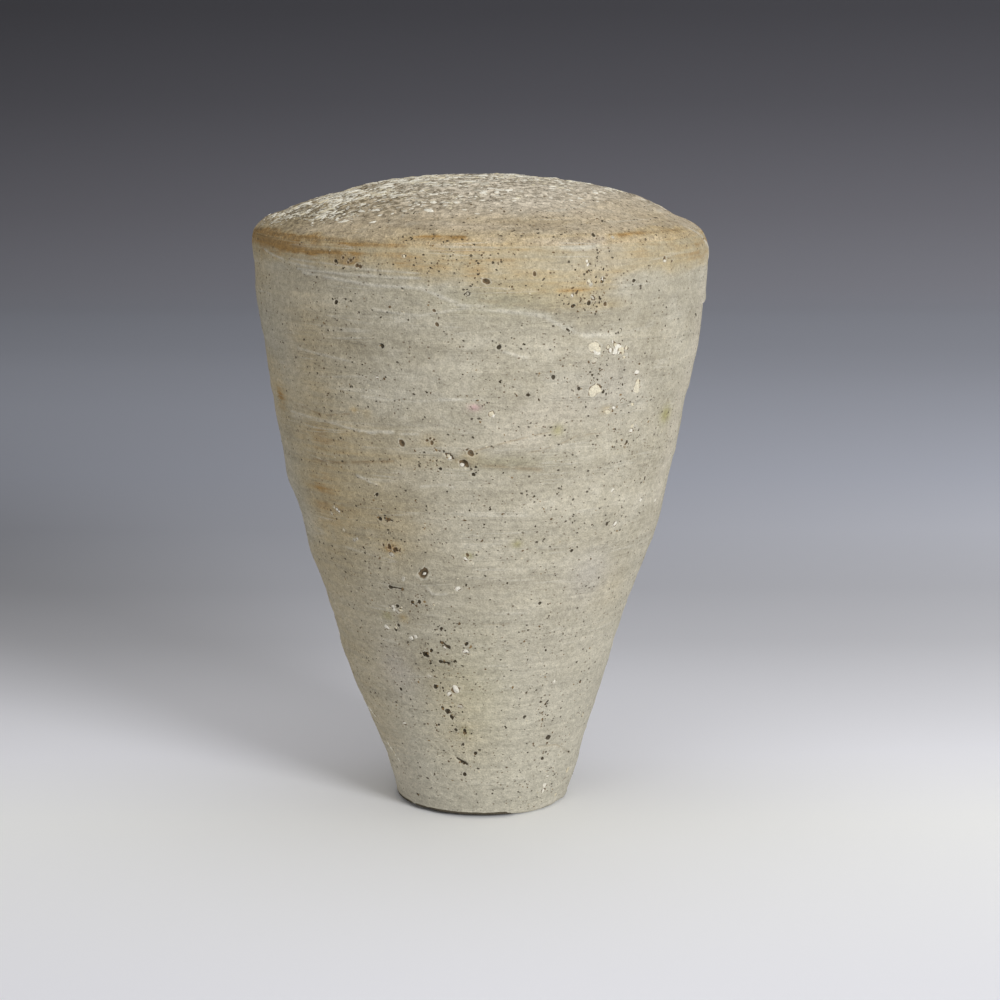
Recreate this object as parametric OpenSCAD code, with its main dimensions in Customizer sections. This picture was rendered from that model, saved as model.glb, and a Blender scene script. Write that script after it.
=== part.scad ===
// Sphero-conical vessel: a thick-walled conical jar, closed by a shallow dome with a small mouth.
// It is built from clay pieces that were formed apart and luted together with slip.
// Millimetres, +Z up, origin at the centre of the underside, front towards -Y.

/* [Base disc] */
// Radius of the underside that the vessel stands on
base_r = 27.5; // [22:0.5:34]
// Radius of the disc at its upper edge, where the wall starts
base_top_r = 31.5; // [27:0.5:38]
// Height of the disc at its upper edge
base_h = 16; // [10:0.5:24]
// Thickness of the floor at its centre
floor_t = 15; // [8:0.5:20]
// Rounding of the disc's lower edge
base_round = 2; // [0.5:0.5:4]

/* [Wall] */
// Outer radius of the wall at the shoulder
shoulder_r = 69; // [60:0.5:80]
// Height of the shoulder, where the wall stands upright
shoulder_z = 171; // [150:1:190]
// Height where the lower cone's line reaches the shoulder's radius
cone_z = 122; // [100:1:140]
// Thickness of the wall, measured level
wall_t = 9.5; // [6:0.5:11]
// Height of the joint between the lower and the upper wall, on the outside
joint_z = 110; // [60:1:130]
// Rise of the lower joints from the outside to the inside
scarf = 5; // [2:0.5:8]
// Thickness of the slip in every joint
slip_t = 0.8; // [0.6:0.1:2]

/* [Dome] */
// Radius of the rounding between the shoulder and the crown
shoulder_round = 14; // [12:0.5:20]
// Rise of the crown above the shoulder
dome_rise = 25.5; // [22:0.5:32]
// Angle of the dome's joint up the rounding
dome_joint = 28; // [15:1:40]
// Radius of the mouth
mouth_r = 4.5; // [3:0.25:8]
// Worn slope around the mouth's upper edge
mouth_wear = 1; // [0.5:0.25:2]
// Radius of the flat worn on the crown around the mouth
mouth_flat_r = 10; // [7:0.5:16]

/* [Shoulder band] */
// Thickness of the clay band that covers the dome's joint, from the shoulder upwards
band_t = 1; // [0.5:0.1:1.5]
// Thickness of the band at its lowest point, where it is smeared out
band_edge_t = 0.4; // [0.2:0.1:1]
// Reach of the band below the shoulder at its lowest point
band_reach = 19; // [8:0.5:24]
// Tilt of the band's lower edge
band_tilt = 5; // [0:0.5:7]
// Direction of the band's lowest point, from the front towards the right
band_turn = 32; // [-180:1:180]

/* [Hidden] */
$fn = 128;
arc_step = 4;
wall_steps = 16;
band_steps = 4;
clay = "#b5ad98";
clay_warm = "#b9a587";
clay_slip = "#a79f8b";

// Rounding of the shoulder: one centre for the dome, the wall under the band, and the inside
round_r = shoulder_r + band_t - shoulder_round;
wall_round = shoulder_round - band_t;
inner_round = wall_round - wall_t;

// Crown: an arc that is tangent to the shoulder's rounding and reaches dome_rise above the shoulder
crown_lift = dome_rise - shoulder_round;
crown_drop = (round_r * round_r - crown_lift * crown_lift) / (2 * crown_lift);
crown_r = crown_drop + dome_rise;
crown_z = shoulder_z - crown_drop;
crown_start = atan2(crown_drop, round_r);
inner_crown_r = crown_r - shoulder_round + inner_round;
flat_z = crown_z + sqrt(crown_r * crown_r - mouth_flat_r * mouth_flat_r);

// Lower edge of the band, at its lowest, and the start of the stretch of wall under it
band_z = shoulder_z - band_reach;
band_start = band_z - band_t;

// The wall's outside is one curve: a cone above the base that bends upright at the shoulder
function curve_share(z) =
    let (
        bend = base_h - 2 * cone_z + shoulder_z,
        lead = 2 * (cone_z - base_h),
        rest = base_h - z
    )
    -2 * rest / (lead + sqrt(lead * lead - 4 * bend * rest));

function wall_r(z) =
    let (s = curve_share(z))
    base_top_r * (1 - s) * (1 - s) + shoulder_r * (1 - (1 - s) * (1 - s));

function outside(z) = [wall_r(z), z];
// The band's outside, which thins out from the shoulder down to its lower edge
function band_outside(z) =
    let (share = (z - band_start) / (shoulder_z - band_start))
    [wall_r(z) + band_edge_t + (band_t - band_edge_t) * share, z];
function inside(z) = [wall_r(z) - wall_t, z];

function outer_run(z0, z1, steps) = [for (i = [0:steps]) outside(z0 + (z1 - z0) * i / steps)];
function inner_run(z0, z1, steps) = [for (i = [0:steps]) inside(z0 + (z1 - z0) * i / steps)];

// Points on an arc about [cr, cz], both ends included
function arc(cr, cz, r, a0, a1) =
    let (n = max(1, ceil(abs(a1 - a0) / arc_step)))
    [for (i = [0:n]) let (a = a0 + (a1 - a0) * i / n) [cr + r * cos(a), cz + r * sin(a)]];

// The dome's joint follows a line from the rounding's centre, and lift is the distance above that line
function face_angle(r, lift) = dome_joint + asin(lift / r);
function face_point(r, lift) =
    [round_r + r * cos(face_angle(r, lift)), shoulder_z + r * sin(face_angle(r, lift))];
function rounding(r, a0, a1) = arc(round_r, shoulder_z, r, a0, a1);

// A run of points without its first one, where it goes on from another run, and a run from end to start
function rest(points) = [for (i = [1:len(points) - 1]) points[i]];
function reversed(points) = [for (i = [len(points) - 1:-1:0]) points[i]];

// The stretch of the upper wall's outside that the band covers, up to the dome's joint
under_band = concat(
    outer_run(band_start, shoulder_z, band_steps),
    rest(rounding(wall_round, 0, dome_joint))
);

module turned(points) {
    rotate_extrude() polygon(points);
}

// Slip ring in a joint whose outer edge is at height z
module slip_ring(z) {
    turned([
        outside(z),
        outside(z + slip_t),
        inside(z + scarf + slip_t),
        inside(z + scarf)
    ]);
}

module base_disc() {
    color(clay)
    turned(concat(
        [[0, 0]],
        arc(base_r - base_round, base_round, base_round, -90, 0),
        [outside(base_h), inside(base_h + scarf), [0, floor_t]]
    ));
}

module base_slip() {
    color(clay_slip) slip_ring(base_h);
}

module lower_wall() {
    color(clay)
    turned(concat(
        outer_run(base_h + slip_t, joint_z, wall_steps),
        inner_run(joint_z + scarf, base_h + scarf + slip_t, wall_steps)
    ));
}

module wall_slip() {
    color(clay_slip) slip_ring(joint_z);
}

module upper_wall() {
    color(clay)
    turned(concat(
        outer_run(joint_z + slip_t, band_start, wall_steps),
        rest(under_band),
        rounding(inner_round, dome_joint, 0),
        rest(inner_run(shoulder_z, joint_z + scarf + slip_t, wall_steps))
    ));
}

module shoulder_slip() {
    color(clay_slip)
    turned([
        face_point(wall_round, 0),
        face_point(wall_round, slip_t),
        face_point(inner_round, slip_t),
        face_point(inner_round, 0)
    ]);
}

// Clay strip smeared over the dome's joint, with a lower edge that dips towards one side
module shoulder_band() {
    edge_z = band_z + shoulder_r * tan(band_tilt);
    cutter = 4 * shoulder_r;
    color(clay_warm)
    difference() {
        turned(concat(
            [for (p = outer_run(band_start, shoulder_z, band_steps)) band_outside(p[1])],
            rest(rounding(shoulder_round, 0, face_angle(shoulder_round, slip_t))),
            [face_point(wall_round, slip_t)],
            reversed(under_band)
        ));
        rotate([0, 0, band_turn])
        translate([0, 0, edge_z])
        rotate([band_tilt, 0, 0])
        translate([-cutter / 2, -cutter / 2, -cutter])
        cube(cutter);
    }
}

module dome() {
    mouth_angle = acos(mouth_r / inner_crown_r);
    flat_angle = acos(mouth_flat_r / crown_r);
    color(clay_warm)
    turned(concat(
        [[mouth_r, flat_z - mouth_wear], [mouth_r + mouth_wear, flat_z]],
        arc(0, crown_z, crown_r, flat_angle, crown_start),
        rest(rounding(shoulder_round, crown_start, face_angle(shoulder_round, slip_t))),
        rounding(inner_round, face_angle(inner_round, slip_t), crown_start),
        rest(arc(0, crown_z, inner_crown_r, crown_start, mouth_angle))
    ));
}

base_disc();
base_slip();
lower_wall();
wall_slip();
upper_wall();
shoulder_slip();
shoulder_band();
dome();
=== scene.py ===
"""Looks of a thick-walled unglazed vessel: clay skins, grit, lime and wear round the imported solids."""
import math
from collections import namedtuple
from types import SimpleNamespace

import bmesh
import bpy
import numpy as np
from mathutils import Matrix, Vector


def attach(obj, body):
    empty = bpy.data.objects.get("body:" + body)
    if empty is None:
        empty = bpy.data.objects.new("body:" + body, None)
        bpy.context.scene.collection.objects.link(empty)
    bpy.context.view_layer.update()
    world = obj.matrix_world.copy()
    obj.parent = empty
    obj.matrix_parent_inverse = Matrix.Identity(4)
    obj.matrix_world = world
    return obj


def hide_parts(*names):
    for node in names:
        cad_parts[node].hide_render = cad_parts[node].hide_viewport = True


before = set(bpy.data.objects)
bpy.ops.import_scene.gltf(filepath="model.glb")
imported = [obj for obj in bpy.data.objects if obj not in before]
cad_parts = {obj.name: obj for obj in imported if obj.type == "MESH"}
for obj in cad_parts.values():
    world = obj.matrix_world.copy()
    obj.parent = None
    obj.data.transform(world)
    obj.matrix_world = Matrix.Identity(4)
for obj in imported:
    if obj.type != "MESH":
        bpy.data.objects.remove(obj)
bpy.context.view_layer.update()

# Sizes in millimetres, the same as in the solids
MM = 0.001
BASE_R = 27.5
BASE_TOP_R = 31.5
BASE_H = 16.0
FLOOR_T = 15.0
BASE_ROUND = 2.0
SHOULDER_R = 69.0
SHOULDER_Z = 171.0
CONE_Z = 122.0
WALL_T = 9.5
JOINT_Z = 110.0
SCARF = 5.0
SLIP_T = 0.8
SHOULDER_ROUND = 14.0
DOME_RISE = 25.5
DOME_JOINT = math.radians(28)
MOUTH_R = 4.5
MOUTH_WEAR = 1.0
MOUTH_FLAT_R = 10.0
BAND_T = 1.0

# Worked out from them: the shoulder's rounding and the crown's arc, one band's thickness under the outside
ROUND_R = SHOULDER_R + BAND_T - SHOULDER_ROUND
WALL_ROUND = SHOULDER_ROUND - BAND_T
INNER_ROUND = WALL_ROUND - WALL_T
CROWN_LIFT = DOME_RISE - SHOULDER_ROUND
CROWN_DROP = (ROUND_R ** 2 - CROWN_LIFT ** 2) / (2 * CROWN_LIFT)
CROWN_Z = SHOULDER_Z - CROWN_DROP
CROWN_R = CROWN_DROP + DOME_RISE - BAND_T
CROWN_START = math.atan2(CROWN_DROP, ROUND_R)
CROWN_S = SHOULDER_Z + WALL_ROUND * CROWN_START
INNER_CROWN_R = CROWN_R - WALL_T

# The camera that sees the vessel as the photograph does: millimetres, degrees and pixels of a square frame
CAMERA_BACK = 700.0
CAMERA_UP = 222.2
CAMERA_PITCH = 10.32
CAMERA_LENS = 81.8
SENSOR = 36.0
FRAME_PX = 1000.0
AXIS_PX = 480.0
FOCAL_PX = CAMERA_LENS / SENSOR * FRAME_PX

# Columns of cells round every skin, the parts that a cell next to a mark is split into, each way, the
# texture map, and the angle from which an edge is sharp. Angle 0 faces the front, the right is positive
COLUMNS = 512
SPLIT = 3
PHI = np.linspace(-math.pi, math.pi, COLUMNS, endpoint=False)
UV_NAME = "OFBake"
UV_MARGIN = 0.004
SHARP_FROM = math.radians(50)


# The outside, as one curve from the foot to the mouth

def wall_radius(z):
    """Outer radius of the wall at height z: a cone above the base that bends upright at the shoulder."""
    bend = BASE_H - 2 * CONE_Z + SHOULDER_Z
    lead = 2 * (CONE_Z - BASE_H)
    rest = BASE_H - z
    share = -2 * rest / (lead + np.sqrt(lead * lead - 4 * bend * rest))
    return BASE_TOP_R * (1 - share) ** 2 + SHOULDER_R * (1 - (1 - share) ** 2)


def side_radius(z):
    """Outer radius at height z, base disc included."""
    disc = BASE_R + (BASE_TOP_R - BASE_R) * (z - BASE_ROUND) / (BASE_H - BASE_ROUND)
    return np.where(z < BASE_H, disc, wall_radius(np.maximum(z, BASE_H)))


def core(s):
    """Radius, height and outward normal at s: height up to the shoulder, then length along the curve."""
    s = np.asarray(s, float)
    z = np.minimum(s, SHOULDER_Z)
    step = 0.1
    slope = (side_radius(z) - side_radius(z - step)) / step
    size = np.sqrt(1 + slope ** 2)
    turn = np.clip((s - SHOULDER_Z) / WALL_ROUND, 0, CROWN_START)
    arc = CROWN_START + np.maximum(s - CROWN_S, 0) / CROWN_R
    zones = [s <= SHOULDER_Z, s <= CROWN_S]
    r = np.select(zones, [side_radius(z), ROUND_R + WALL_ROUND * np.cos(turn)], CROWN_R * np.cos(arc))
    h = np.select(zones, [z, SHOULDER_Z + WALL_ROUND * np.sin(turn)], CROWN_Z + CROWN_R * np.sin(arc))
    nr = np.select(zones, [1 / size, np.cos(turn)], np.cos(arc))
    nz = np.select(zones, [-slope / size, np.sin(turn)], np.sin(arc))
    return r, h, nr, nz


def polar(phi, r, z):
    """Points at angle phi, distance r from the axis and height z."""
    return np.stack([r * np.sin(phi), -r * np.cos(phi), z], -1)


def placed(phi, s, lift):
    """Points in millimetres at angle phi and place s, lifted along the normal."""
    r, z, nr, nz = core(s)
    return polar(phi, r + lift * nr, z + lift * nz)


def crown_s(radius):
    """Place on the crown at that distance from the axis."""
    return CROWN_S + CROWN_R * (math.acos(radius / CROWN_R) - CROWN_START)


def turned(angle):
    """The same angle, between minus and plus half a turn."""
    return (angle + math.pi) % (2 * math.pi) - math.pi


# Smooth seeded noise

# Numbers that stir a lattice point and a seed into an even spread of 32-bit values
STIR_AXES = (374761393, 668265263, 2246822519)
STIR_SEED = 3266489917
STIR_ROUNDS = ((15, 2654435761), (13, 1274126177))
STIR_LAST = 16
WORD = 0xFFFFFFFF
# How far apart the noises of two seeds lie, in cells
SEED_SHIFT = 0.37
# Degrees to either side over which stations round the vessel are softened
SOFTENED = (-4, -2, 0, 2, 4)


def lattice(points, seed):
    """Value noise from -1 to 1 on a unit lattice, for points of shape (..., 3)."""
    cell = np.floor(points).astype(np.int64)
    part = points - cell
    part = part * part * (3 - 2 * part)
    total = np.zeros(points.shape[:-1])
    for corner in np.ndindex(2, 2, 2):
        at = (cell + corner).astype(np.uint64)
        mixed = sum(at[..., axis] * np.uint64(factor) for axis, factor in enumerate(STIR_AXES))
        mixed = mixed + np.uint64(seed * STIR_SEED)
        for shift, factor in STIR_ROUNDS:
            mixed = (mixed ^ (mixed >> np.uint64(shift))) * np.uint64(factor) & np.uint64(WORD)
        value = (mixed ^ (mixed >> np.uint64(STIR_LAST))) / WORD * 2 - 1
        weight = np.prod(np.where(np.array(corner, bool), part, 1 - part), -1)
        total += value * weight
    return total


def noise(phi, s, across, along, seed):
    """Noise on the skin, with cells of that many millimetres round the vessel and up it."""
    r = core(s)[0]
    return lattice(polar(phi, r, s) / (across, across, along) + SEED_SHIFT * seed, seed)


def ring_noise(phi, across, seed):
    """Noise that changes only round the vessel."""
    return noise(phi, np.full_like(phi, SHOULDER_Z), across, SHOULDER_Z, seed)


def smooth(value, low, high):
    """Soft step from 0 at low to 1 at high."""
    share = np.clip((value - low) / (high - low), 0, 1)
    return share * share * (3 - 2 * share)


def around(phi, stations):
    """A value that changes round the vessel, from (degrees, value) stations, softened between them."""
    angles, values = zip(*stations)
    turns = [np.interp(np.degrees(phi) + shift, angles, values, period=360) for shift in SOFTENED]
    return np.mean(turns, 0)


def bell(away, reach):
    """Soft hump of height 1 over a distance, with that reach."""
    return np.exp(-(away / reach) ** 2)


def hump(phi, s, side, place, half_width, reach):
    """A soft hump that is 1 at (side, place). half_width is in degrees and reach in millimetres."""
    turn = np.degrees(turned(phi - math.radians(side)))
    return np.exp(-(turn / half_width) ** 2 - ((s - place) / reach) ** 2)


# Where a pixel of the photograph lies on the skin

def seen_at(points):
    """Pixel of each point in millimetres, in the photograph's frame."""
    pitch = math.radians(CAMERA_PITCH)
    away = points - np.array([0, -CAMERA_BACK, CAMERA_UP])
    depth = away[..., 1] * math.cos(pitch) - away[..., 2] * math.sin(pitch)
    rise = away[..., 1] * math.sin(pitch) + away[..., 2] * math.cos(pitch)
    return AXIS_PX + FOCAL_PX * away[..., 0] / depth, FRAME_PX / 2 - FOCAL_PX * rise / depth


# Places on the front whose pixels are looked up: degrees to either side, places, and their steps
FRONT_SIDE = 88
FRONT_LOW = 2
FRONT_HIGH = 246
FRONT_TURN_STEP = 0.2
FRONT_PLACE_STEP = 0.3
FRONT_PHI, FRONT_S = np.meshgrid(
    np.radians(np.arange(-FRONT_SIDE, FRONT_SIDE, FRONT_TURN_STEP)),
    np.arange(FRONT_LOW, FRONT_HIGH, FRONT_PLACE_STEP))
FRONT_X, FRONT_Y = seen_at(placed(FRONT_PHI, FRONT_S, 0))


def spot(x, y):
    """Angle and place on the front whose pixel is nearest to (x, y)."""
    nearest = np.argmin((FRONT_X - x) ** 2 + (FRONT_Y - y) ** 2)
    return FRONT_PHI.flat[nearest], FRONT_S.flat[nearest]


def stations(pixels, behind):
    """Stations of a line round the vessel: pixels in front, then (degrees, place) behind."""
    front = [spot(x, y) for x, y in pixels]
    return sorted([(math.degrees(phi), s) for phi, s in front] + behind)


# Shapes of the skin: where the joints run, and how the clay swells, dips and is scored

# The wall joint and the lower edge of the shoulder band, as pixels in front and degrees and places behind
JOINT_LINE = stations(
    [(297, 452), (313, 459), (340, 462), (372, 461), (393, 461), (433, 457), (452, 458), (468, 465),
     (506, 467), (540, 471), (592, 473), (626, 472), (660, 469)],
    [(-180, 110), (-130, 108), (-100, 110), (95, 109.5), (130, 111)])
BAND_EDGE = stations(
    [(262, 258), (296, 268), (330, 274), (372, 282), (420, 287), (445, 297), (470, 307), (501, 311),
     (542, 316), (565, 328), (600, 338), (640, 331), (680, 313), (703, 297)],
    [(-180, 163), (-130, 166), (-105, 169), (105, 163), (140, 161)])
# Height over which the band gets its full thickness, how far its lower edge stands off the wall, and how
# much of that edge is pale and bare
BAND_RISE = 9
BAND_STEP = [(-180, 0.4), (-95, 0.1), (-20, 0.05), (8, 0.06), (20, 0.09), (32, 0.1), (45, 0.1),
             (65, 0.3), (90, 0.9)]
BARE_EDGE = [(-180, 0.4), (-90, 0.1), (-12, 0.3), (6, 0.5), (14, 0.9), (30, 1.0), (40, 0.4),
             (70, 0.2), (100, 0.4)]
# How open the wall joint is
JOINT_OPEN = [(-180, 0.7), (-110, 0.5), (-60, 0.3), (-20, 0.45), (-4, 0.8), (15, 0.6), (35, 0.35),
              (70, 0.15), (120, 0.6)]
# Swellings and dips: side and half width in degrees, place and reach in millimetres, lift
SWELLS = [
    (-90, 55, 140, 13, -0.7), (-90, 55, 103, 9, 1.35), (-90, 55, 80, 7, 0.9), (-90, 50, 46, 12, 1.0),
    (-90, 60, 8, 12, -1.0), (90, 55, 126, 9, -0.5), (90, 55, 91, 12, 0.7), (90, 60, 57, 16, -1.5),
    (90, 50, 10, 9, 0.6), (-90, 60, 180, 6, 0.9), (-90, 60, 194, 7, 0.2), (90, 50, 187, 6.5, -1.2),
    (0, 60, 197, 16, -0.2),
    (-12, 40, 111, 5, -0.55), (-5, 45, 121, 5, 0.35), (35, 30, 118, 6, 0.3), (0, 60, 60, 14, 0.5),
    (10, 45, 88, 9, -0.5), (170, 60, 132, 14, 0.8), (200, 50, 70, 16, -0.9), (150, 40, 98, 8, 0.8),
    (180, 50, 30, 10, 0.7), (20, 40, 140, 10, 0.4), (-30, 40, 150, 8, -0.35),
]
# The wall's top and the crown sink a little, so that the finished skin stays within the solids, and the
# corner between wall and dome stands out
SHOULDER_SINK = 0.5
CROWN_SINK = 0.75
CORNER_S = 178.5
CORNER_LIFT = 0.35
CORNER_REACH = 4.0
SINK_BELOW = 4
SINK_REACH = 7
# Distances from the axis between which the crown sinks
CROWN_SINK_FROM = 34
CROWN_SINK_TO = 12
# Unevenness of the worked clay, and the crown's grain: lift, cell round the vessel and up it, seed
HAND_WORK = [(0.3, 34, 15, 1), (0.28, 20, 6, 2), (0.14, 8, 3, 3)]
CROWN_GRAIN = [(0.2, 3.6, 2.4, 7), (0.12, 1.7, 1.5, 8)]
# Wiping lines: their lift, and how far they slant
WIPE_LIFT = 0.13
WIPE_SLANT = 2
WIPE_TURN = 0.6
# Grooves along the joints: their depths and reaches, and the ridge over the wall joint
WALL_GROOVE = 0.34
BASE_GROOVE = 0.14
DOME_GROOVE = 0.22
GROOVE_REACH = 0.7
DOME_GROOVE_REACH = 0.6
RIDGE_LIFT = 0.12
RIDGE_ABOVE = 2.4
RIDGE_REACH = 1.4


def joint_line(phi):
    """Place of the wall joint's lower edge."""
    return around(phi, JOINT_LINE) + 0.4 * ring_noise(phi, 9, 31)


def band_edge(phi):
    """Place of the shoulder band's ragged lower edge."""
    return around(phi, BAND_EDGE) + 0.7 * ring_noise(phi, 7, 32) + 0.4 * ring_noise(phi, 2.4, 33)


def relief(phi, s):
    """Lift of the worked clay over the smooth curve: swellings, finger marks, wiping lines and grit."""
    lift = np.zeros_like(s)
    for side, wide, place, reach, amount in SWELLS:
        lift += amount * hump(phi, s, side, place, wide, reach)
    for amount, across, along, seed in HAND_WORK:
        lift += amount * noise(phi, s, across, along, seed)
    wiped = smooth(noise(phi, s, 30, 12, 4), -0.3, 0.6)
    slanted = s + WIPE_SLANT * np.sin(phi + WIPE_TURN)
    lift += WIPE_LIFT * wiped * noise(phi, slanted, 46, 2.0, 5)
    crown = smooth(s, SHOULDER_Z + 5, SHOULDER_Z + 15)
    lift += crown * sum(amount * noise(phi, s, *cells) for amount, *cells in CROWN_GRAIN)
    lift -= SHOULDER_SINK * bell(s - SHOULDER_Z + SINK_BELOW, SINK_REACH)
    lift += CORNER_LIFT * bell(s - CORNER_S, CORNER_REACH)
    return lift - CROWN_SINK * smooth(s, crown_s(CROWN_SINK_FROM), crown_s(CROWN_SINK_TO))


def seams(phi, s):
    """Shallow grooves along the joints, open or smeared over, and a ridge over the wall joint."""
    from_joint = s - joint_line(phi) - SLIP_T / 2
    gape = around(phi, JOINT_OPEN) * smooth(ring_noise(phi, 7, 9), -0.8, 0.5)
    lift = -WALL_GROOVE * gape * bell(from_joint, GROOVE_REACH)
    lift += RIDGE_LIFT * bell(from_joint - RIDGE_ABOVE, RIDGE_REACH)
    from_base = s - BASE_H - SLIP_T / 2
    lift -= BASE_GROOVE * smooth(ring_noise(phi, 10, 10), 0.0, 0.6) * bell(from_base, GROOVE_REACH)
    from_dome = s - SHOULDER_Z - WALL_ROUND * DOME_JOINT - SLIP_T
    lift -= DOME_GROOVE * smooth(ring_noise(phi, 12, 11), -0.2, 0.6) * bell(from_dome, DOME_GROOVE_REACH)
    return lift


def band_lift(phi, s):
    """Thickness of the shoulder band: a step at its ragged edge, then a slow rise to its full thickness."""
    step = around(phi, BAND_STEP)
    return step + (BAND_T - step) * smooth(s - band_edge(phi), 0, BAND_RISE)


# Marks read from the photograph, in its pixels, with sizes in millimetres

# Dark marks: x, y, size. The larger ones are pits, the smaller ones grains of dark grit
DARK_MARKS = [
    (482, 256, 0.9), (552, 254, 0.9), (431, 267, 0.9), (478, 263, 0.9), (478, 274, 0.9), (468, 294, 1.3),
    (512, 286, 0.9), (559, 295, 0.9), (632, 280, 1.1), (601, 281, 1.1), (595, 282, 0.9), (587, 270, 1.0),
    (595, 258, 0.9), (577, 291, 0.9), (580, 300, 0.9), (572, 306, 1.1), (577, 311, 0.9), (588, 303, 1.2),
    (619, 331, 1.6), (608, 331, 0.9), (568, 329, 0.9), (566, 378, 0.9), (591, 375, 0.9), (594, 384, 0.9),
    (601, 386, 0.9), (602, 391, 1.1), (622, 384, 0.9), (578, 388, 1.1), (631, 390, 0.9), (616, 406, 0.9),
    (615, 414, 0.9), (649, 423, 0.9), (639, 429, 1.0), (633, 430, 0.9), (626, 442, 1.1), (596, 436, 0.9),
    (611, 446, 0.9), (603, 351, 0.9), (599, 368, 0.9), (337, 261, 1.2), (344, 268, 0.9), (268, 275, 0.9),
    (335, 302, 1.3), (282, 342, 0.9), (382, 346, 1.3), (352, 387, 0.9), (298, 430, 0.9), (372, 461, 0.9),
    (377, 494, 1.1), (415, 501, 0.9), (343, 510, 0.9), (380, 518, 1.5), (386, 518, 0.9), (389, 519, 1.0),
    (539, 373, 0.9), (553, 377, 1.3), (515, 394, 0.9), (480, 422, 0.9), (440, 470, 1.1), (473, 475, 1.2),
    (557, 494, 0.9), (490, 510, 0.9), (544, 509, 0.9), (523, 551, 1.0), (453, 558, 0.9), (469, 588, 0.9),
    (539, 603, 1.1), (547, 604, 0.9), (441, 628, 1.1), (539, 626, 0.9), (644, 478, 1.1), (573, 514, 0.9),
    (596, 534, 0.9), (611, 533, 0.9), (606, 524, 1.2), (572, 551, 1.1), (364, 548, 1.0), (380, 558, 1.0),
    (346, 578, 0.9), (390, 587, 1.3), (402, 589, 1.0), (415, 596, 0.9), (412, 602, 1.1), (419, 602, 1.1),
    (397, 606, 1.2), (398, 625, 1.1), (396, 629, 1.1), (382, 635, 1.0), (408, 641, 0.9), (442, 643, 0.9),
    (448, 647, 0.9), (466, 644, 1.4), (431, 650, 1.2), (426, 654, 1.9), (440, 661, 1.1), (444, 662, 0.9),
    (448, 663, 0.9), (434, 676, 0.9), (436, 686, 1.4), (443, 687, 0.9), (401, 688, 1.1), (442, 707, 1.1),
    (447, 710, 1.6), (451, 717, 1.3), (454, 715, 0.9), (436, 725, 0.9), (436, 730, 0.9), (455, 730, 1.1),
    (464, 731, 1.2), (462, 745, 1.1), (475, 754, 1.1), (474, 757, 0.9), (461, 763, 0.9), (464, 764, 0.9),
    (464, 775, 1.3), (416, 795, 1.1), (548, 738, 1.9), (541, 725, 0.9), (544, 726, 0.9), (542, 759, 1.2),
    (552, 771, 0.9), (505, 727, 1.0), (527, 659, 0.9), (524, 717, 1.1), (546, 674, 0.9), (581, 683, 1.1),
    (588, 689, 1.0), (540, 702, 0.9), (546, 707, 0.9), (499, 347, 1.3), (592, 237, 1.3), (566, 234, 1.0),
    (634, 221, 0.9), (581, 214, 0.9), (441, 206, 1.5), (425, 230, 0.9), (504, 214, 0.9), (520, 212, 0.9),
    (500, 239, 0.9), (345, 215, 0.9), (304, 246, 1.0), (412, 203, 0.9), (593, 203, 0.9),
]
# Marks with rusty or brown walls
BROWN_MARKS = [
    (486, 281, 2.0), (402, 443, 1.9), (427, 440, 1.0), (432, 442, 1.1), (430, 438, 0.8), (434, 439, 0.7),
    (471, 453, 1.9), (389, 547, 1.6), (395, 549, 1.6), (423, 573, 2.9), (345, 258, 0.9), (352, 261, 1.0),
    (358, 265, 1.1), (349, 263, 0.8), (361, 266, 1.0), (355, 259, 0.7), (588, 302, 1.1), (593, 299, 0.9),
    (534, 274, 1.1), (662, 259, 1.4), (670, 261, 0.9), (437, 324, 1.4), (434, 311, 1.0), (449, 455, 1.1),
    (464, 463, 2.0), (604, 303, 1.2), (598, 219, 1.1), (593, 220, 0.9), (602, 222, 0.9), (467, 449, 0.8),
    (638, 364, 1.0), (467, 555, 1.2), (464, 733, 1.3), (605, 224, 0.7), (383, 545, 0.9), (399, 551, 0.8),
]
# Clusters of small grains: x, y, half width and half height in pixels, how many
GRIT_CLUSTERS = [
    (582, 296, 18, 18, 46), (597, 276, 12, 12, 16), (626, 443, 12, 10, 14), (440, 665, 32, 50, 80),
    (456, 725, 22, 40, 50), (600, 376, 16, 16, 20), (545, 705, 10, 40, 30),
    (405, 612, 20, 16, 20), (470, 270, 60, 26, 40), (632, 500, 16, 40, 24), (395, 540, 30, 40, 40),
    (430, 460, 26, 14, 36), (480, 215, 120, 24, 90), (620, 230, 60, 16, 40), (420, 255, 50, 12, 24),
    (320, 340, 40, 60, 40), (610, 400, 30, 50, 40), (500, 530, 70, 70, 60), (500, 400, 80, 60, 50),
    (545, 770, 30, 20, 16), (390, 549, 8, 4, 12), (597, 301, 12, 5, 14), (316, 321, 10, 3, 8),
    (345, 391, 8, 6, 10), (382, 379, 8, 4, 8), (427, 391, 4, 4, 5), (452, 712, 12, 9, 22),
    (463, 647, 8, 7, 14), (416, 601, 8, 5, 12), (543, 715, 5, 12, 16), (427, 650, 4, 8, 12),
]
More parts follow.
